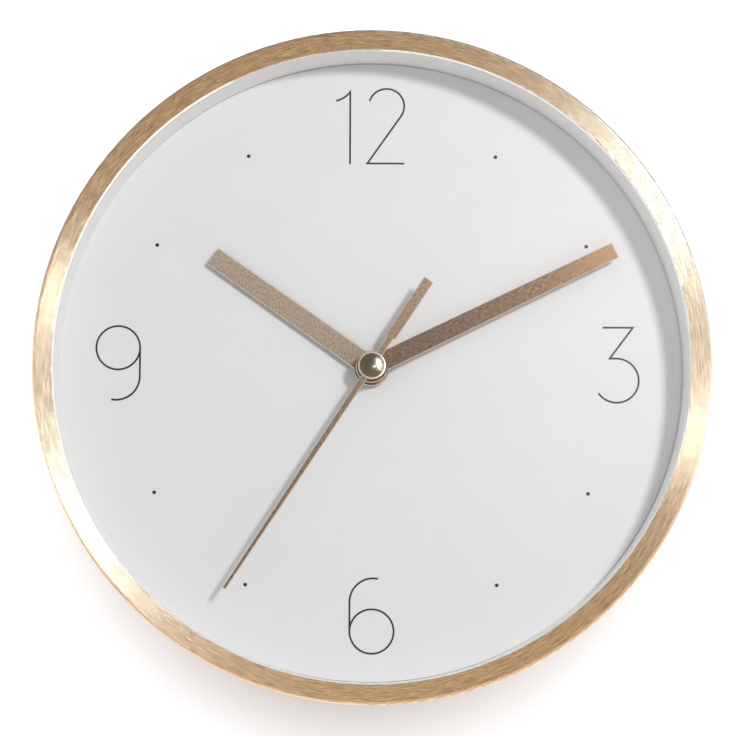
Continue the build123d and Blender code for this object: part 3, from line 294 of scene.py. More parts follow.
@dataclass(frozen=True)
class BrushedMetal(Finish):
    """Metal with fine parallel scratches that spread its shine across them."""

    title: str
    colour: Colour
    worn: Colour
    roughness: float
    cut: Colour = (0.95, 0.83, 0.68)
    brush: Brush = Brush.STRAIGHT
    spread: float = 0.3
    streak: float = 0.00032
    stroke: float = 0.0012
    heading: float = 0.0
    dulling: float = 0.0
    dull_ends: Span = (0.0011, 0.0033)
    groove: float = 0.00012
    pushed: float = 3.0
    waver: float = 0.15
    cloud: float = 60.0
    cloud_share: float = 0.02
    streak_share: float = 0.08
    shade_ends: Span = (0.36, 0.64)
    face_ends: Span = (0.6, 0.95)
    side_ends: Span = (0.05, 0.3)
    middle: float = 0.097
    front: float = 0.041
    outside: float = 0.1
    rounding: float = 0.0011

    def paint(self, paint: Paint) -> None:
        """Adds the brushing to colour, roughness and normal.

        Args:
            paint: the material.
        """
        normal = paint.node("ShaderNodeNewGeometry", output="Normal")
        if self.brush is Brush.ROUND:
            lengthwise, crosswise, along = self.round_grid(paint)
            normal = self.round_normal(paint, normal)
        else:
            lengthwise, crosswise, along = self.straight_grid(paint)
        grid = paint.vector(lengthwise / self.stroke, crosswise / self.streak, 0.0)
        streaks = paint.noise(grid, 1.0, detail=3.0, rough=0.6)
        cloud = paint.noise(paint.point(), self.cloud, detail=3.0)
        shifted = crosswise + streaks * (self.pushed * self.groove)
        slope = paint.maths("PINGPONG", shifted, self.groove / 2) * (4.0 / self.groove) - 1.0
        lean = slope * self.spread + streaks.swing(self.waver)
        across = paint.vector_maths("CROSS_PRODUCT", normal, paint.to_world(along))
        bent = paint.vector_maths("MULTIPLY_ADD", across, lean, normal)
        outlook = paint.node("ShaderNodeTexCoord", output="Normal")
        facing = abs(paint.node("ShaderNodeSeparateXYZ", None, {"Vector": outlook}, "Y"))
        edge = paint.between(facing, self.face_ends, 1.0, 0.0) * paint.between(facing, self.side_ends)
        depth = paint.position()[1] + self.front
        dull = paint.between(depth, self.dull_ends, 0.0, self.dulling)
        brushed = paint.blend(paint.between(streaks, self.shade_ends), self.worn, self.colour)
        grain = cloud.swing(self.cloud_share) + streaks.swing(self.streak_share)
        paint.surface({
            "Base Color": paint.blend(edge, brushed, self.cut),
            "Roughness": self.roughness + grain + dull,
            "Metallic": 1.0,
            "Normal": paint.vector_maths("NORMALIZE", bent),
        })

    def round_grid(self, paint: Paint) -> tuple[Value, Value, Value]:
        """Measures along and across strokes that run round the hands' axis.

        Args:
            paint: the material.

        Returns:
            The ways along and across the strokes, and their direction.
        """
        x, y, z = paint.position()
        radius = paint.radius(x, z)
        bearing = paint.maths("ARCTAN2", x, z)
        side = paint.maths("SIGN", radius - self.middle)
        crosswise = radius + side * (y + self.front)
        return bearing * self.outside, crosswise, paint.vector(z / radius, 0.0, 0.0 - x / radius)

    def round_normal(self, paint: Paint, normal: Value) -> Value:
        """The way a round band faces, worked out from the place alone at its front.

        Args:
            paint: the material.
            normal: the way the surface faces elsewhere.

        Returns:
            The normal.
        """
        x, y, z = paint.position()
        radius = paint.radius(x, z)
        outward = paint.maths("MAXIMUM", radius - (self.outside - self.rounding), 0.0)
        forward = y + (self.front - self.rounding)
        rounded = paint.to_world(paint.vector(x / radius * outward, forward, z / radius * outward))
        return paint.blend(forward < 0.0, normal, paint.vector_maths("NORMALIZE", rounded))

    def straight_grid(self, paint: Paint) -> tuple[Value, Value, Value]:
        """Measures along and across strokes that run one way.

        Args:
            paint: the material.

        Returns:
            The ways along and across the strokes, and their direction.
        """
        x, _, z = paint.position()
        sine, cosine = math.sin(math.radians(self.heading)), math.cos(math.radians(self.heading))
        return x * sine + z * cosine, x * cosine - z * sine, paint.vector(sine, 0.0, cosine)


@dataclass(frozen=True)
class PolishedMetal(Finish):
    """Bright metal turned on a lathe, polished in the middle, painted darker on its slope as painted shade,
    and freshly cut at its edge.
    """

    title: str
    colour: Colour
    # painted shade: the same metal painted darker where the dome slopes away
    slope: Colour
    cut: Colour
    roughness: float
    slope_from: float = 0.001
    cut_from: float = 0.1
    ring_pitch: float = 0.00018
    ring_depth: float = 0.0000008
    smear: float = 700.0
    smear_reach: float = 0.001
    smear_share: float = 0.1

    def paint(self, paint: Paint) -> None:
        """Adds the cut edge, faint turning rings and a smeared polish.

        Args:
            paint: the material.
        """
        x, y, z = paint.position()
        radius = paint.radius(x, z)
        rings = paint.noise(paint.vector(radius / self.ring_pitch, y / self.ring_pitch, 0.0), 1.0, detail=1.0)
        smear = paint.noise(paint.point(), self.smear, detail=3.0)
        outward = paint.between(radius + smear.swing(self.smear_reach), (self.slope_from, self.cut_from))
        # painted shade: darker from slope_from outward, standing in for the dome's dim reflection
        polished = paint.blend(outward, self.colour, self.slope)
        paint.surface({
            "Base Color": paint.blend(radius > self.cut_from, polished, self.cut),
            "Roughness": self.roughness + smear.swing(self.smear_share),
            "Metallic": 1.0,
            "Normal": paint.bump(rings, self.ring_depth),
        })


@dataclass(frozen=True)
class PlatedMetal(Finish):
    """Sheet or wire with a plated skin, clouded and lightly scratched."""

    title: str
    colour: Colour
    tint: Colour
    roughness: float
    cloud: float = 260.0
    cloud_ends: Span = (0.35, 0.65)
    cloud_share: float = 0.22
    scratch: float = 9000.0
    scratch_stretch: Triple = (0.05, 1.0, 1.0)
    scratch_share: float = 0.12
    scratch_depth: float = 0.000004

    def paint(self, paint: Paint) -> None:
        """Adds the clouded plating and its scratches.

        Args:
            paint: the material.
        """
        point = paint.point()
        patch = paint.noise(point, self.cloud, detail=4.0, rough=0.6)
        mapping = {"Vector": point, "Scale": self.scratch_stretch}
        stretched = paint.node("ShaderNodeMapping", None, mapping)
        scratch = paint.noise(stretched, self.scratch, rough=0.7)
        wear = patch.swing(self.cloud_share) + scratch.swing(self.scratch_share)
        paint.surface({
            "Base Color": paint.blend(paint.between(patch, self.cloud_ends), self.colour, self.tint),
            "Roughness": self.roughness + wear,
            "Metallic": 1.0,
            "Normal": paint.bump(scratch, self.scratch_depth),
        })


@dataclass(frozen=True)
class MouldedPlastic(Finish):
    """Moulded plastic with the fine grain of its mould and slight clouding."""

    title: str
    colour: Colour
    shade: Colour
    roughness: float
    grain: float
    depth: float
    grain_weight: float = 0.2
    grain_share: float = 0.18
    cloud: float = 45.0
    cloud_share: float = 0.1
    shade_ends: Span = (0.3, 0.7)

    def paint(self, paint: Paint) -> None:
        """Adds the mould's grain and the clouding.

        Args:
            paint: the material.
        """
        point = paint.point()
        grain = paint.noise(point, 1.0 / self.grain, detail=3.0, rough=0.6)
        cloud = paint.noise(point, self.cloud, detail=3.0)
        mixed = cloud * (1.0 - self.grain_weight) + grain * self.grain_weight
        paint.surface({
            "Base Color": paint.blend(paint.between(mixed, self.shade_ends), self.shade, self.colour),
            "Roughness": self.roughness + grain.swing(self.grain_share) + cloud.swing(self.cloud_share),
            "Normal": paint.bump(grain, self.depth),
            **self.glow(paint),
        })

    def glow(self, paint: Paint) -> dict[str, Any]:
        """The sockets of a painted glow, which plain plastic has none of."""
        return {}


@dataclass(frozen=True)
class PaintedGlowPlastic(MouldedPlastic):
    """Moulded plastic with a painted glow on its top, a painted light that lifts the shade under the pane's
    edge.
    """

    top: float = -0.03825
    # colour of the painted glow, painted light on the top
    light: Colour = (0.70, 0.685, 0.665)

    def glow(self, paint: Paint) -> dict[str, Any]:
        """The sockets of the painted glow at the top."""
        # painted light: the top in front of the pane's rear glows of itself
        lit = paint.blend(paint.position()[1] < self.top, (0.0, 0.0, 0.0), self.light)
        return {"Emission Color": lit, "Emission Strength": 1.0}


@dataclass(frozen=True)
class ClearGlass(Finish):
    """A flat pane that shows what is behind it, with a faint shine and a thin haze of dust."""

    title: str = "Clear pane"
    tint: Colour = (0.99, 0.99, 0.99)
    index: float = 1.5
    faces: float = 1.3
    polish: float = 0.03
    haze: float = 0.36
    dusty: float = 0.72
    dust: float = 35.0
    dust_share: float = 0.3

    def paint(self, paint: Paint) -> None:
        """Mixes what is seen through the pane with what it mirrors.

        Args:
            paint: the material.
        """
        clear = paint.node("ShaderNodeBsdfTransparent", None, {"Color": (*self.tint, 1.0)})
        mirror = paint.node("ShaderNodeBsdfAnisotropic", None, {"Roughness": self.polish})
        film = paint.node("ShaderNodeBsdfAnisotropic", None, {"Roughness": self.haze})
        dust = paint.noise(paint.point(), self.dust, detail=4.0, rough=0.65)
        share = self.dusty + dust.swing(self.dust_share)
        shine = paint.node("ShaderNodeMixShader", None, {0: share, 1: mirror, 2: film})
        edge = paint.node("ShaderNodeFresnel", None, {"IOR": self.index})
        behind = paint.node("ShaderNodeNewGeometry", output="Backfacing")
        share = edge * (1.0 - behind) * self.faces
        paint.finish(paint.node("ShaderNodeMixShader", None, {0: share, 1: clear, 2: shine}))


@dataclass(frozen=True)
class CellJacket(Finish):
    """The printed film round a cell, with a pale ring and a bare steel base."""

    title: str = "Cell jacket"
    film: Colour = (0.035, 0.10, 0.20)
    faded: Colour = (0.058, 0.11, 0.19)
    ring: Colour = (0.62, 0.64, 0.66)
    steel: Colour = (0.64, 0.63, 0.62)
    base_ends: Span = (-0.0241, -0.0239)
    ring_ends: Span = (0.0168, 0.0182)
    wrinkle: float = 900.0
    wrinkle_share: float = 0.12
    wrinkle_depth: float = 0.000006
    scuff: float = 160.0
    scuff_ends: Span = (0.55, 0.75)
    scuff_most: float = 0.35
    scuff_share: float = 0.4
    roughness: float = 0.26

    def paint(self, paint: Paint) -> None:
        """Prints the ring and leaves the base bare.

        Args:
            paint: the material.
        """
        x = paint.position()[0]
        point = paint.point()
        bare = paint.between(x, self.base_ends, 1.0, 0.0)
        ring = (x > self.ring_ends[0]) * (x < self.ring_ends[1])
        wrap = paint.noise(point, self.wrinkle, detail=3.0, rough=0.6)
        rubbed = paint.noise(point, self.scuff, detail=4.0, rough=0.7)
        scuff = paint.between(rubbed, self.scuff_ends, 0.0, self.scuff_most)
        printed = paint.blend(ring, paint.blend(scuff, self.film, self.faded), self.ring)
        paint.surface({
            "Base Color": paint.blend(bare, printed, self.steel),
            "Metallic": bare,
            "Roughness": self.roughness + scuff * self.scuff_share + wrap.swing(self.wrinkle_share),
            "Normal": paint.bump(wrap, self.wrinkle_depth),
        })


@dataclass(frozen=True)
class WoundWire(Finish):
    """Enamelled wire laid side by side round a bobbin, with painted shade in the gaps between turns."""

    title: str = "Enamelled copper wire"
    colour: Colour = (0.72, 0.29, 0.11)
    # painted shade in the gaps between turns
    painted_gap_shade: Colour = (0.28, 0.09, 0.03)
    pitch: float = 0.00022
    crown_ends: Span = (0.0, 0.7)
    depth: float = 0.00005
    sway: float = 500.0
    sway_reach: float = 0.0001
    sway_share: float = 0.12
    roughness: float = 0.24

    def paint(self, paint: Paint) -> None:
        """Adds the turns, a little uneven.

        Args:
            paint: the material.
        """
        x = paint.position()[0]
        half = self.pitch / 2
        sway = paint.noise(paint.point(), self.sway)
        turns = paint.maths("PINGPONG", x + sway * self.sway_reach, half)
        crown = paint.between(turns / half, self.crown_ends)
        paint.surface({
            # painted shade: darker copper in the gaps between turns
            "Base Color": paint.blend(crown, self.painted_gap_shade, self.colour),
            "Metallic": 1.0,
            "Roughness": self.roughness + sway * self.sway_share,
            "Normal": paint.bump(crown, self.depth),
        })


@dataclass(frozen=True)
class BoardLacquer(Finish):
    """Green lacquer over a board's copper tracks."""

    title: str = "Board lacquer"
    colour: Colour = (0.016, 0.10, 0.04)
    track: Colour = (0.04, 0.22, 0.09)
    size: float = 0.0024
    track_ends: Span = (0.12, 0.17)
    track_weight: float = 0.7
    depth: float = 0.00003
    weave: float = 2500.0
    weave_share: float = 0.14
    roughness: float = 0.26

    def paint(self, paint: Paint) -> None:
        """Adds the tracks under the lacquer.

        Args:
            paint: the material.
        """
        settings = {"feature": "DISTANCE_TO_EDGE", "voronoi_dimensions": "3D"}
        cells = {"Vector": paint.point(), "Scale": 1.0 / self.size}
        edge = paint.node("ShaderNodeTexVoronoi", settings, cells)
        track = paint.between(edge, self.track_ends, 1.0, 0.0)
        weave = paint.noise(paint.point(), self.weave)
        height = track * self.track_weight + weave * (1.0 - self.track_weight)
        paint.surface({
            "Base Color": paint.blend(track, self.colour, self.track),
            "Roughness": self.roughness + weave.swing(self.weave_share),
            "Normal": paint.bump(height, self.depth),
        })


RIM_GOLD = BrushedMetal(
    "Brushed rim metal",
    colour=(0.90, 0.553, 0.30),
    worn=(0.53, 0.317, 0.167),
    roughness=0.255,
    cut=(0.86, 0.68, 0.50),
    brush=Brush.ROUND,
    spread=0.6,
    streak=0.0002,
    stroke=0.006,
    dulling=0.3,
)
HOUR_GOLD = BrushedMetal(
    "Brushed hour hand",
    colour=(0.62, 0.485, 0.36),
    worn=(0.33, 0.255, 0.19),
    roughness=0.30,
    streak=0.00035,
    stroke=0.0009,
    heading=15.0,
)
MINUTE_GOLD = BrushedMetal(
    "Brushed minute hand", (0.74, 0.47, 0.294), (0.33, 0.21, 0.13), roughness=0.25, heading=64.0
)
SECOND_GOLD = BrushedMetal(
    "Brushed second hand", (0.75, 0.522, 0.34), (0.56, 0.39, 0.255), roughness=0.28, heading=33.2
)
CAP_BRASS = PolishedMetal(
    "Polished cap brass",
    colour=(0.24, 0.195, 0.11),
    # painted shade on the dome's slope
    slope=(0.13, 0.10, 0.055),
    cut=(0.98, 0.82, 0.58),
    roughness=0.3,
    slope_from=0.0012,
    cut_from=0.00358,
)
BUSH_BRASS = PolishedMetal(
    "Turned bush brass",
    colour=(0.78, 0.60, 0.36),
    slope=(0.70, 0.54, 0.32),
    cut=(0.78, 0.60, 0.36),
    roughness=0.22,
)
LENS_GLASS = ClearGlass()
# its top carries a painted glow, painted light over the shade under the pane
SURROUND_WHITE = PaintedGlowPlastic(
    "White surround plastic", (0.935, 0.925, 0.915), (0.915, 0.905, 0.895), 0.42, 0.0006, 0.000004
)
DIAL_WHITE = MouldedPlastic(
    "Matte dial white", (0.81, 0.81, 0.812), (0.795, 0.796, 0.80), 0.6, 0.0003, 0.000003
)
DIAL_INK = MouldedPlastic(
    "Dial ink", (0.005, 0.005, 0.0055), (0.009, 0.009, 0.0095), 0.6, 0.0004, 0.000003
)
PAN_WHITE = MouldedPlastic(
    "White pan plastic", (0.78, 0.775, 0.755), (0.73, 0.725, 0.70), 0.46, 0.0005, 0.00001
)
PLATED_STEEL = PlatedMetal("Zinc plated steel", (0.42, 0.425, 0.435), (0.34, 0.35, 0.37), 0.38)
WASHER_RUBBER = MouldedPlastic(
    "Washer rubber", (0.03, 0.03, 0.03), (0.02, 0.02, 0.021), 0.75, 0.0003, 0.00001
)
MOVEMENT_BLACK = MouldedPlastic(
    "Black movement plastic", (0.017, 0.017, 0.0185), (0.011, 0.011, 0.0125), 0.48, 0.0003, 0.000014
)
MOTOR_IRON = PlatedMetal("Motor iron", (0.46, 0.45, 0.44), (0.36, 0.35, 0.35), 0.4)
BOBBIN_WHITE = MouldedPlastic(
    "Bobbin nylon", (0.74, 0.72, 0.66), (0.68, 0.66, 0.60), 0.4, 0.0004, 0.000005
)
COPPER_WIRE = WoundWire()
BOARD_GREEN = BoardLacquer()
CRYSTAL_CAN = PlatedMetal("Crystal can", (0.66, 0.65, 0.62), (0.58, 0.57, 0.55), 0.24)
CHIP_BLACK = MouldedPlastic(
    "Chip resin", (0.02, 0.02, 0.02), (0.012, 0.012, 0.012), 0.28, 0.0006, 0.00001
)
CONTACT_NICKEL = PlatedMetal("Contact nickel", (0.68, 0.66, 0.62), (0.60, 0.58, 0.55), 0.28)
CELL_JACKET = CellJacket()
CELL_STEEL = PlatedMetal("Cell steel", (0.66, 0.65, 0.64), (0.58, 0.58, 0.58), 0.25)
WHEEL_WHITE = MouldedPlastic(
    "Wheel acetal", (0.78, 0.77, 0.73), (0.74, 0.73, 0.69), 0.38, 0.0004, 0.000004
)
MAGNET_DARK = PlatedMetal("Rotor magnet", (0.16, 0.16, 0.17), (0.11, 0.11, 0.12), 0.5)
KNOB_GREY = MouldedPlastic(
    "Knob plastic", (0.30, 0.30, 0.30), (0.26, 0.26, 0.265), 0.46, 0.0003, 0.00001
)
WHEELS = ("intermediate", "second", "third", "centre", "minute", "hour")


class Pick(Enum):
    """The kind of element that a modelling step selects."""

    FACES = "FACE"
    EDGES = "EDGE"
    POINTS = "VERT"


class NewPiece:
    """A piece modelled by hand, from a primitive to its finished mesh."""

    corner_steps = 6
    edge_steps = 2
    sharp_from = 40.0
    smooth_to = 35.0
    merge_within = 0.000001

    def __init__(self, name: str, start: Callable[..., set[str]], **size: Any) -> None:
        """Adds the primitive and opens it for editing.

        Args:
            name: the piece's name.
            start: the operator that adds the primitive.
            size: the operator's own settings.
        """
        bpy.ops.object.select_all(action="DESELECT")
        start(**size)
        self.object = bpy.context.object
        self.object.name = name
        self.object.data.name = name
        bpy.ops.object.transform_apply(location=True, rotation=True, scale=True)
        bpy.ops.object.mode_set(mode="EDIT")

    def pick(self, kind: Pick, wanted: Callable[[Vector], bool]) -> None:
        """Selects by place.

        Args:
            kind: faces, edges or points.
            wanted: says of an element's middle whether it is selected.
        """
        bpy.ops.mesh.select_mode(type=kind.value)
        bpy.ops.mesh.select_all(action="DESELECT")
        shape = bmesh.from_edit_mesh(self.object.data)
        elements = {Pick.FACES: shape.faces, Pick.EDGES: shape.edges, Pick.POINTS: shape.verts}[kind]
        for element in elements:
            corners = [element.co] if kind is Pick.POINTS else [point.co for point in element.verts]
            element.select_set(wanted(sum(corners, Vector()) / len(corners)))
        shape.select_flush_mode()
        bmesh.update_edit_mesh(self.object.data)

    def pick_all(self, kind: Pick = Pick.FACES) -> None:
        """Selects the whole mesh."""
        bpy.ops.mesh.select_mode(type=kind.value)
        bpy.ops.mesh.select_all(action="SELECT")

    def round_corners(self, radius: float) -> None:
        """Rounds the corners of a flat sheet."""
        self.pick_all(Pick.POINTS)
        bpy.ops.mesh.bevel(offset=radius, segments=self.corner_steps, affect="VERTICES")

    def keep_border(self, width: float) -> None:
        """Leaves only the border of a flat sheet.

        Args:
            width: how wide the border is.
        """
        self.pick_all()
        bpy.ops.mesh.inset(thickness=width)
        bpy.ops.mesh.delete(type="FACE")

    def raise_sheet(self, rise: float, edge: float) -> None:
        """Gives a flat sheet its height over the wall side and softens its edges.

        Args:
            rise: how far it stands up.
            edge: how wide its rounding is.
        """
        self.pick_all()
        self.extrude((0.0, rise, 0.0))
        self.soften(edge)

    def extrude(self, way: Sequence[float]) -> None:
        """Pulls what is selected out along a way."""
        bpy.ops.mesh.extrude_region_move(TRANSFORM_OT_translate={"value": tuple(way)})

    def soften(self, width: float) -> None:
        """Rounds the piece's sharp edges.

        Args:
            width: how wide the rounding is.
        """
        bpy.ops.object.mode_set(mode="OBJECT")
        bevel = self.object.modifiers.new("soften", "BEVEL")
        bevel.width = width
        bevel.segments = self.edge_steps
        bevel.limit_method = "ANGLE"
        bevel.angle_limit = math.radians(self.sharp_from)
        bpy.ops.object.modifier_apply(modifier="soften")
        bpy.ops.object.mode_set(mode="EDIT")

    def finish(self, body: str, slot: str, finish: Finish) -> bpy.types.Object:
        """Closes the mesh, dresses it and seats it on its body.

        Args:
            body: the body that carries the piece.
            slot: not used.
            finish: what it is dressed in.

        Returns:
            The finished piece.
        """
        self.pick_all()
        bpy.ops.mesh.remove_doubles(threshold=self.merge_within)
        bpy.ops.mesh.normals_make_consistent(inside=False)
        bpy.ops.object.mode_set(mode="OBJECT")
        bpy.ops.object.shade_smooth_by_angle(angle=math.radians(self.smooth_to))
        self.object.data.materials.append(finish.material())
        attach(self.object, body)
        LOG.info("new piece %s: %s", self.object.name, finish.title)
        return self.object


def repeat(model: bpy.types.Object, name: str, move: Matrix) -> None:
    """Copies a finished piece, with a mesh of its own, to another place.

    Args:
        model: the finished piece.
        name: the copy's name.
        move: what is done to the copy's mesh.
    """
    copy = model.copy()
    copy.data = model.data.copy()
    copy.name = name
    copy.data.name = name
    bpy.context.scene.collection.objects.link(copy)
    copy.data.transform(move)
    LOG.info("new piece %s", name)


class SubAssembly:
    """A group of the clock's pieces that are built and dressed together."""

    finishes: ClassVar[dict[str, Finish]] = {}

    def build(self) -> None:
        """Adds the group's own new pieces, if it has any."""

    def dress(self) -> None:
        """Gives each carried-over solid of the group its finish."""
        for name, finish in self.finishes.items():
            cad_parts[name].material_slots[0].material = finish.material()
            LOG.info("%s: %s", name, finish.title)


@dataclass
class CaseShell(SubAssembly):
    """The rim, pane, inner wall, back pan and hanger."""

    finishes = {
        "case_ring": RIM_GOLD,
        "lens": LENS_GLASS,
        "dial_surround": SURROUND_WHITE,
        "back_pan": PAN_WHITE,
        "hanger_plate": PLATED_STEEL,
        "hanger_screws": PLATED_STEEL,
    }

    floor: float = -22.0 * MM
    mark_circle: float = 71.0 * MM
    mark_radius: float = 2.6 * MM
    mark_sides: int = 40
    mark_rise: float = 0.25 * MM
    mark_lip: float = 0.5 * MM
    mark_sink: float = 0.12 * MM
    mark_edge: float = 0.05 * MM
    mark_step: float = 30.0

    def build(self) -> None:
        """Adds the round marks that the mould's pins left on the pan's floor."""
        mark = NewPiece(
            "pin_mark_180",
            bpy.ops.mesh.primitive_cylinder_add,
            vertices=self.mark_sides,
            radius=self.mark_radius,
            depth=self.mark_rise,
            location=(0.0, self.floor + self.mark_rise / 2, -self.mark_circle),
            rotation=(math.radians(90.0), 0.0, 0.0),
        )
        top = self.floor + self.mark_rise
        mark.pick(Pick.FACES, lambda middle: middle.y > top - self.mark_edge)
        bpy.ops.mesh.inset(thickness=self.mark_lip)
        mark.extrude((0.0, -self.mark_sink, 0.0))
        mark.soften(self.mark_edge)
        model = mark.finish("case", "pan_white", PAN_WHITE)
        steps = round(360.0 / self.mark_step)
        for bearing in (self.mark_step * step for step in range(1, steps) if 2 * step != steps):
            turn = Matrix.Rotation(math.radians(bearing - 180.0), 4, "Y")
            repeat(model, f"pin_mark_{bearing:03.0f}", turn)


@dataclass
class DialFace(SubAssembly):
    """The dial and what is printed on it."""

    finishes = {"dial": DIAL_WHITE, "numerals": DIAL_INK, "hour_dots": DIAL_INK}


@dataclass
class HandSet(SubAssembly):
    """The three hands, their bushes and the cap."""

    finishes = {
        "hour_hand": HOUR_GOLD,
        "minute_hand": MINUTE_GOLD,
        "second_hand": SECOND_GOLD,
        "hour_bush": BUSH_BRASS,
        "minute_bush": BUSH_BRASS,
        "second_tube": BUSH_BRASS,
        "centre_cap": CAP_BRASS,
    }


@dataclass
class Movement(SubAssembly):
    """The quartz movement: housing, motor, board and wheels."""

    finishes = {
        "movement_front_case": MOVEMENT_BLACK,
        "movement_rear_cover": MOVEMENT_BLACK,
        "movement_screws": PLATED_STEEL,
        "rubber_washer": WASHER_RUBBER,
        "stator": MOTOR_IRON,
        "coil_core": MOTOR_IRON,
        "coil_bobbin": BOBBIN_WHITE,
        "coil_winding": COPPER_WIRE,
        "circuit_board": BOARD_GREEN,
        "quartz_crystal": CRYSTAL_CAN,
        "timing_chip": CHIP_BLACK,
        "positive_contact": CONTACT_NICKEL,
        "negative_contact": CONTACT_NICKEL,
        "rotor_pinion": WHEEL_WHITE,
        "rotor_magnet": MAGNET_DARK,
        **{f"{name}_wheel": WHEEL_WHITE for name in WHEELS},
        "setting_knob": KNOB_GREY,
    }

    rear: float = -5.0 * MM
    flat_turn: Triple = (math.radians(-90.0), 0.0, 0.0)
    rise: float = 0.3 * MM
    edge: float = 0.1 * MM
    cuts: int = 2
    border_middle: float = 8.0 * MM
    border_size: Span = (52.8 * MM, 36.6 * MM)
    border_corner: float = 2.2 * MM
    border_width: float = 0.8 * MM
    knob: Span = (11.276 * MM, 4.104 * MM)
    arrow_radius: float = 6.9 * MM
    arrow_width: float = 0.9 * MM
    arrow_sweep: float = 105.0
    arrow_steps: int = 18
    arrow_head: float = 2.4
    arrow_tip: float = 2.2 * MM
    sign_places: Span = (21.6 * MM, -6.0 * MM)
    sign_size: float = 3.6 * MM
    sign_bar: float = 1.2 * MM
    outline_size: Span = (24.0 * MM, 5.4 * MM)
    outline_nub: float = 1.3 * MM
    outline_width: float = 0.55 * MM
    outline_reach: float = 0.9 * MM
    clip_place: Triple = (28.35 * MM, -8.2 * MM, 16.0 * MM)
    clip_size: Triple = (0.7 * MM, 5.6 * MM, 6.0 * MM)
    clip_touch: float = 0.01 * MM
    clip_lip: float = 1.1 * MM
    clip_sink: float = 0.25 * MM
    clip_drop: float = 32.0 * MM

    def build(self) -> None:
        """Adds what is moulded on the housing's outside."""
        self.add_border()
        self.add_arrows()
        self.add_plus()
        self.add_minus()
        self.add_cell_outline()
        self.add_clips()

    def sheet(self, name: str, place: Span, size: Span) -> NewPiece:
        """Lays a flat sheet on the housing's rear face.

        Args:
            name: the new piece's name.
            place: the sheet's middle, across and up.
            size: its width and height.

        Returns:
            The sheet, open for editing.
        """
        middle = (place[0], self.rear, place[1])
        sheet = NewPiece(
            name, bpy.ops.mesh.primitive_plane_add, size=size[0], location=middle, rotation=self.flat_turn
        )
        bpy.ops.transform.resize(value=(1.0, 1.0, size[1] / size[0]), center_override=middle)
        return sheet

    def close(self, piece: NewPiece) -> bpy.types.Object:
        """Finishes a piece in the housing's own plastic."""
        return piece.finish("case", "movement_black", MOVEMENT_BLACK)

    def add_border(self) -> None:
        """Adds the bead that frames the rear face above the cell."""
        border = self.sheet("cover_border", (0.0, self.border_middle), self.border_size)
        border.round_corners(self.border_corner)
        border.keep_border(self.border_width)
        border.raise_sheet(self.rise, self.edge)
        self.close(border)

    def add_arrows(self) -> None:
        """Adds the two curved arrows round the setting knob."""
        across, up = self.knob
        centre = Vector((across, self.rear, up))
        axis = Vector((0.0, 1.0, 0.0))
        start = (across + self.arrow_radius, up)
        arrow = self.sheet("setting_arrow_1", start, (self.arrow_width, self.arrow_width))
        arrow.pick(Pick.POINTS, lambda point: point.z < up)
        bpy.ops.mesh.delete(type="VERT")
        arrow.pick_all(Pick.EDGES)
        sweep = math.radians(self.arrow_sweep)
        bpy.ops.mesh.spin(steps=self.arrow_steps, angle=sweep, center=centre, axis=axis)
        shape = bmesh.from_edit_mesh(arrow.object.data)
        last = [point.co.copy() for point in shape.verts if point.select]
        middle = sum(last, Vector()) / len(last)
        outward = (middle - centre).normalized()
        first = Vector((1.0, 0.0, 0.0))
        ahead = axis.cross(outward)
        if ahead.dot(outward - first) < 0.0:
            ahead = -ahead
        arrow.extrude((0.0, 0.0, 0.0))
        bpy.ops.transform.resize(value=(self.arrow_head,) * 3, center_override=middle)
        arrow.extrude(ahead * self.arrow_tip)
        bpy.ops.mesh.merge(type="CENTER")
        arrow.raise_sheet(self.rise, self.edge)
        model = self.close(arrow)
        about = Matrix.Translation(centre) @ HALF_TURN @ Matrix.Translation(-centre)
        repeat(model, "setting_arrow_2", about)

    def add_plus(self) -> None:
        """Adds the plus sign at the cell's capped end."""
        across, up = self.sign_places
        plus = self.sheet("plus_sign", self.sign_places, (self.sign_size, self.sign_size))
        plus.pick_all()
        bpy.ops.mesh.subdivide(number_cuts=self.cuts)
        reach = self.sign_bar / 2
        plus.pick(Pick.FACES, lambda at: abs(at.x - across) > reach and abs(at.z - up) > reach)
        bpy.ops.mesh.delete(type="FACE")
        plus.raise_sheet(self.rise, self.edge)
        self.close(plus)

    def add_minus(self) -> None:
        """Adds the minus sign at the cell's flat end."""
        across, up = self.sign_places
        minus = self.sheet("minus_sign", (-across, up), (self.sign_size, self.sign_bar))
        minus.raise_sheet(self.rise, self.edge)
        self.close(minus)

    def add_cell_outline(self) -> None:
        """Adds the raised outline that shows which way round the cell goes."""
        up = self.sign_places[1]
        inside = self.outline_size[0] / 2 - self.outline_width
        outline = self.sheet("cell_outline", (0.0, up), self.outline_size)
        outline.pick_all()
        bpy.ops.mesh.subdivide(number_cuts=self.cuts)
        outline.pick(Pick.EDGES, lambda at: at.x > inside and abs(at.z - up) < self.outline_reach)
        outline.extrude((self.outline_nub, 0.0, 0.0))
        outline.keep_border(self.outline_width)
        outline.raise_sheet(self.rise, self.edge)
        self.close(outline)

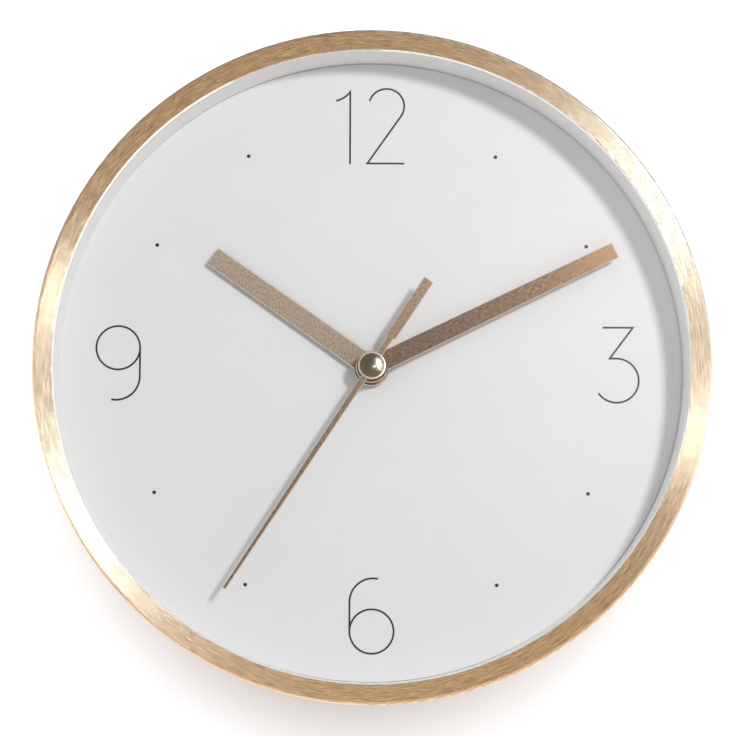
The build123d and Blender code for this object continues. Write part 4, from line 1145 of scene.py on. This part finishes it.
    def add_clips(self) -> None:
        """Adds the four clips that hold the housing's two halves together."""
        size = {"size": 1.0, "location": self.clip_place, "scale": self.clip_size}
        clip = NewPiece("side_clip_1", bpy.ops.mesh.primitive_cube_add, **size)
        half = self.clip_size[0] / 2
        face = self.clip_place[0] + half
        front = self.clip_place[1] - self.clip_size[1] / 2
        touch = self.clip_touch
        clip.pick(Pick.EDGES, lambda at: at.x > face - touch and at.y < front + touch)
        bpy.ops.transform.translate(value=(-half, 0.0, 0.0))
        clip.pick(Pick.FACES, lambda at: at.x > face - half)
        bpy.ops.mesh.inset(thickness=self.clip_lip)
        clip.extrude((-self.clip_sink, 0.0, 0.0))
        clip.soften(self.edge)
        model = self.close(clip)
        lower = Matrix.Translation((0.0, 0.0, -self.clip_drop))
        for number, move in enumerate((lower, HALF_TURN, HALF_TURN @ lower), start=2):
            repeat(model, f"side_clip_{number}", move)


@dataclass
class PowerCell(SubAssembly):
    """The round cell that lies across the movement."""

    finishes = {"battery_cell": CELL_JACKET, "battery_cap": CELL_STEEL}


class Reach(Enum):
    """What a lamp lights."""

    CLOCK = "all_but_wall_rim_and_cap"
    RIM = "rim_only"
    CAP = "cap_only"
    PANE = "pane_only"
    MINUTE_HAND = "minute_hand_only"
    WALL = "wall_only"


@dataclass(frozen=True)
class Lamp:
    """A soft round lamp placed by its bearing on the clock's face and its tilt, in degrees."""

    name: str
    reach: Reach
    bearing: float
    tilt: float
    distance: float
    width: float
    level: float
    colour: Colour = WHITE
    shine_only: bool = False

    def hang(self, aim: Vector, lit: bpy.types.Collection) -> None:
        """Hangs the lamp where it lights a sheet at the aim to its level.

        Args:
            aim: the point it faces.
            lit: what the lamp lights.
        """
        bearing, tilt = math.radians(self.bearing), math.radians(self.tilt)
        aside = math.sin(tilt)
        out = Vector((aside * math.sin(bearing), -math.cos(tilt), aside * math.cos(bearing)))
        data = bpy.data.lights.new(self.name, "AREA")
        data.shape = "DISK"
        data.size = self.width
        data.color = self.colour
        data.energy = self.level * (math.pi * self.distance) ** 2
        lamp = bpy.data.objects.new(self.name, data)
        lamp.location = aim + out * self.distance
        lamp.rotation_euler = (-out).to_track_quat("-Z", "Y").to_euler()
        lamp.visible_camera = False
        lamp.visible_diffuse = not self.shine_only
        lamp.light_linking.receiver_collection = lit
        bpy.context.scene.collection.objects.link(lamp)
        LOG.info("lamp %s", self.name)


LAMPS = (
    Lamp("key", Reach.CLOCK, 56.0, 31.0, 1.0, 0.15, 0.54),
    Lamp("back_left", Reach.CLOCK, 300.0, 150.0, 1.2, 0.8, 0.3),
    Lamp("back_right", Reach.CLOCK, 60.0, 150.0, 1.2, 0.8, 0.3),
    Lamp("pane_glint", Reach.PANE, 56.0, 31.0, 1.0, 0.15, 0.55, WHITE, True),
    Lamp("rim_glint", Reach.RIM, 48.0, 29.0, 3.0, 0.45, 0.54, (0.6, 1.0, 1.6), True),
    Lamp("rim_side_glint", Reach.RIM, 92.0, 46.0, 3.0, 0.3, 0.34, (0.62, 0.95, 1.4), True),
    Lamp("rim_edge_glint", Reach.RIM, 268.0, 98.0, 3.0, 2.8, 0.4, (0.8, 1.0, 1.3), True),
    Lamp("rim_fill", Reach.RIM, 180.0, 20.0, 1.5, 2.4, 0.32, (1.0, 0.97, 0.7), True),
    Lamp("minute_glint", Reach.MINUTE_HAND, 53.5, 30.1, 0.23, 0.03, 0.04, (1.0, 0.7, 0.12), True),
    Lamp("cap_window", Reach.CAP, 75.0, 72.0, 1.0, 1.65, 8.0, (0.8, 0.95, 1.4), True),
    Lamp("cap_spark", Reach.CAP, 108.0, 18.0, 1.0, 0.04, 0.2, WHITE, True),
    Lamp("wall_wash", Reach.WALL, 7.0, 45.0, 1.6, 4.2, 6.0),
)


@dataclass
class Studio:
    """The wall behind the clock, the light in the room and the camera."""

    eye: Vector
    turn: Triple
    lens: float
    aim: Vector
    sensor: float = 36.0
    room: float = 0.55
    front: float = 0.2
    front_ends: Span = (-0.98, 0.2)
    dimmer_above: float = 0.5
    wall_size: float = 6.0
    wall_gap: float = 0.5 * MM
    wall_glow: float = 0.8
    wall_colour: Colour = (0.94, 0.965, 1.0)
    wall_matte: float = 0.6

    def build(self) -> None:
        """Sets up the camera, the lamps, the world and the wall."""
        self.add_camera()
        wall = self.add_wall()
        self.light_world()
        self.hang_lamps(wall)
        bpy.context.scene.view_settings.view_transform = "Standard"

    def add_camera(self) -> None:
        """Stands the camera where the photograph was taken from."""
        data = bpy.data.cameras.new("camera")
        data.lens = self.lens
        data.sensor_width = self.sensor
        camera = bpy.data.objects.new("camera", data)
        camera.location = self.eye
        camera.rotation_euler = [math.radians(part) for part in self.turn]
        bpy.context.scene.collection.objects.link(camera)
        bpy.context.scene.camera = camera

    def add_wall(self) -> bpy.types.Object:
        """Stands a white wall behind the clock, seen from the room only.

        Returns:
            The wall's object.
        """
        bpy.ops.object.select_all(action="DESELECT")
        bpy.ops.mesh.primitive_plane_add(
            size=self.wall_size,
            location=(0.0, self.wall_gap, 0.0),
            rotation=(math.radians(90.0), 0.0, 0.0),
        )
        wall = bpy.context.object
        wall.name = "wall"
        for ray in ("diffuse", "glossy", "transmission", "shadow"):
            setattr(wall, f"visible_{ray}", False)
        made = bpy.data.materials.new("Wall white")
        paint = Paint(made)
        light = {"Color": (*WHITE, 1.0), "Strength": self.wall_glow}
        glow = paint.node("ShaderNodeEmission", None, light)
        matte = paint.node("ShaderNodeBsdfDiffuse", None, {"Color": (*self.wall_colour, 1.0)})
        clear = paint.node("ShaderNodeBsdfTransparent")
        face = paint.node("ShaderNodeMixShader", None, {0: self.wall_matte, 1: glow, 2: matte})
        behind = paint.node("ShaderNodeNewGeometry", output="Backfacing")
        paint.finish(paint.node("ShaderNodeMixShader", None, {0: behind, 1: face, 2: clear}))
        wall.data.materials.append(made)
        return wall

    def light_world(self) -> None:
        """Gives the room its even light, white to the eye and dimmer in front of the clock."""
        world = bpy.data.worlds.new("room")
        bpy.context.scene.world = world
        paint = Paint(world)
        seen = paint.node("ShaderNodeLightPath", output="Is Camera Ray")
        rays = seen.socket.node.outputs
        shown = Value(paint, rays["Is Glossy Ray"])
        through = Value(paint, rays["Is Transmission Ray"])
        heading = paint.node("ShaderNodeTexCoord", output="Generated")
        ahead = paint.node("ShaderNodeSeparateXYZ", None, {"Vector": heading}, "Y")
        up = Value(paint, ahead.socket.node.outputs["Z"])
        mirrored = paint.between(ahead, self.front_ends, self.front) * (1.0 - up * self.dimmer_above)
        level = self.room + seen * (1.0 - self.room) + (shown + through) * (mirrored - self.room)
        light = {"Color": (*WHITE, 1.0), "Strength": level}
        paint.finish(paint.node("ShaderNodeBackground", None, light), "ShaderNodeOutputWorld")

    def hang_lamps(self, wall: bpy.types.Object) -> None:
        """Hangs the lamps, each linked to what it lights.

        Args:
            wall: the wall behind the clock.
        """
        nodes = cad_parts
        rim, cap = nodes["case_ring"], nodes["centre_cap"]
        linked = {
            Reach.CLOCK: (wall, rim, cap),
            Reach.RIM: (rim,),
            Reach.CAP: (cap,),
            Reach.PANE: (nodes["lens"],),
            Reach.MINUTE_HAND: (nodes["minute_hand"],),
            Reach.WALL: (wall,),
        }
        groups = {reach: self.lit_group(reach, pieces) for reach, pieces in linked.items()}
        for piece in groups[Reach.CLOCK].collection_objects:
            piece.light_linking.link_state = "EXCLUDE"
        for lamp in LAMPS:
            lamp.hang(self.aim, groups[lamp.reach])

    @staticmethod
    def lit_group(reach: Reach, pieces: Sequence[bpy.types.Object]) -> bpy.types.Collection:
        """Groups the pieces that a lamp is linked to.

        Args:
            reach: what the group stands for.
            pieces: the pieces in it.

        Returns:
            The group.
        """
        group = bpy.data.collections.new(reach.value)
        for piece in pieces:
            group.objects.link(piece)
        return group


def main() -> None:
    """Dresses every group of pieces, then sets up the room."""
    logging.basicConfig(level=logging.INFO, format="%(name)s %(message)s")
    for group in (CaseShell(), DialFace(), HandSet(), Movement(), PowerCell()):
        group.build()
        group.dress()
    studio = Studio(
        eye=Vector((-5.67, -841.0, -100.15)) * MM,
        turn=(97.012, -0.163, -0.344),
        lens=134.38,
        aim=Vector((0.0, -24.8, 0.0)) * MM,
    )
    studio.build()


if __name__ == "__main__":
    main()
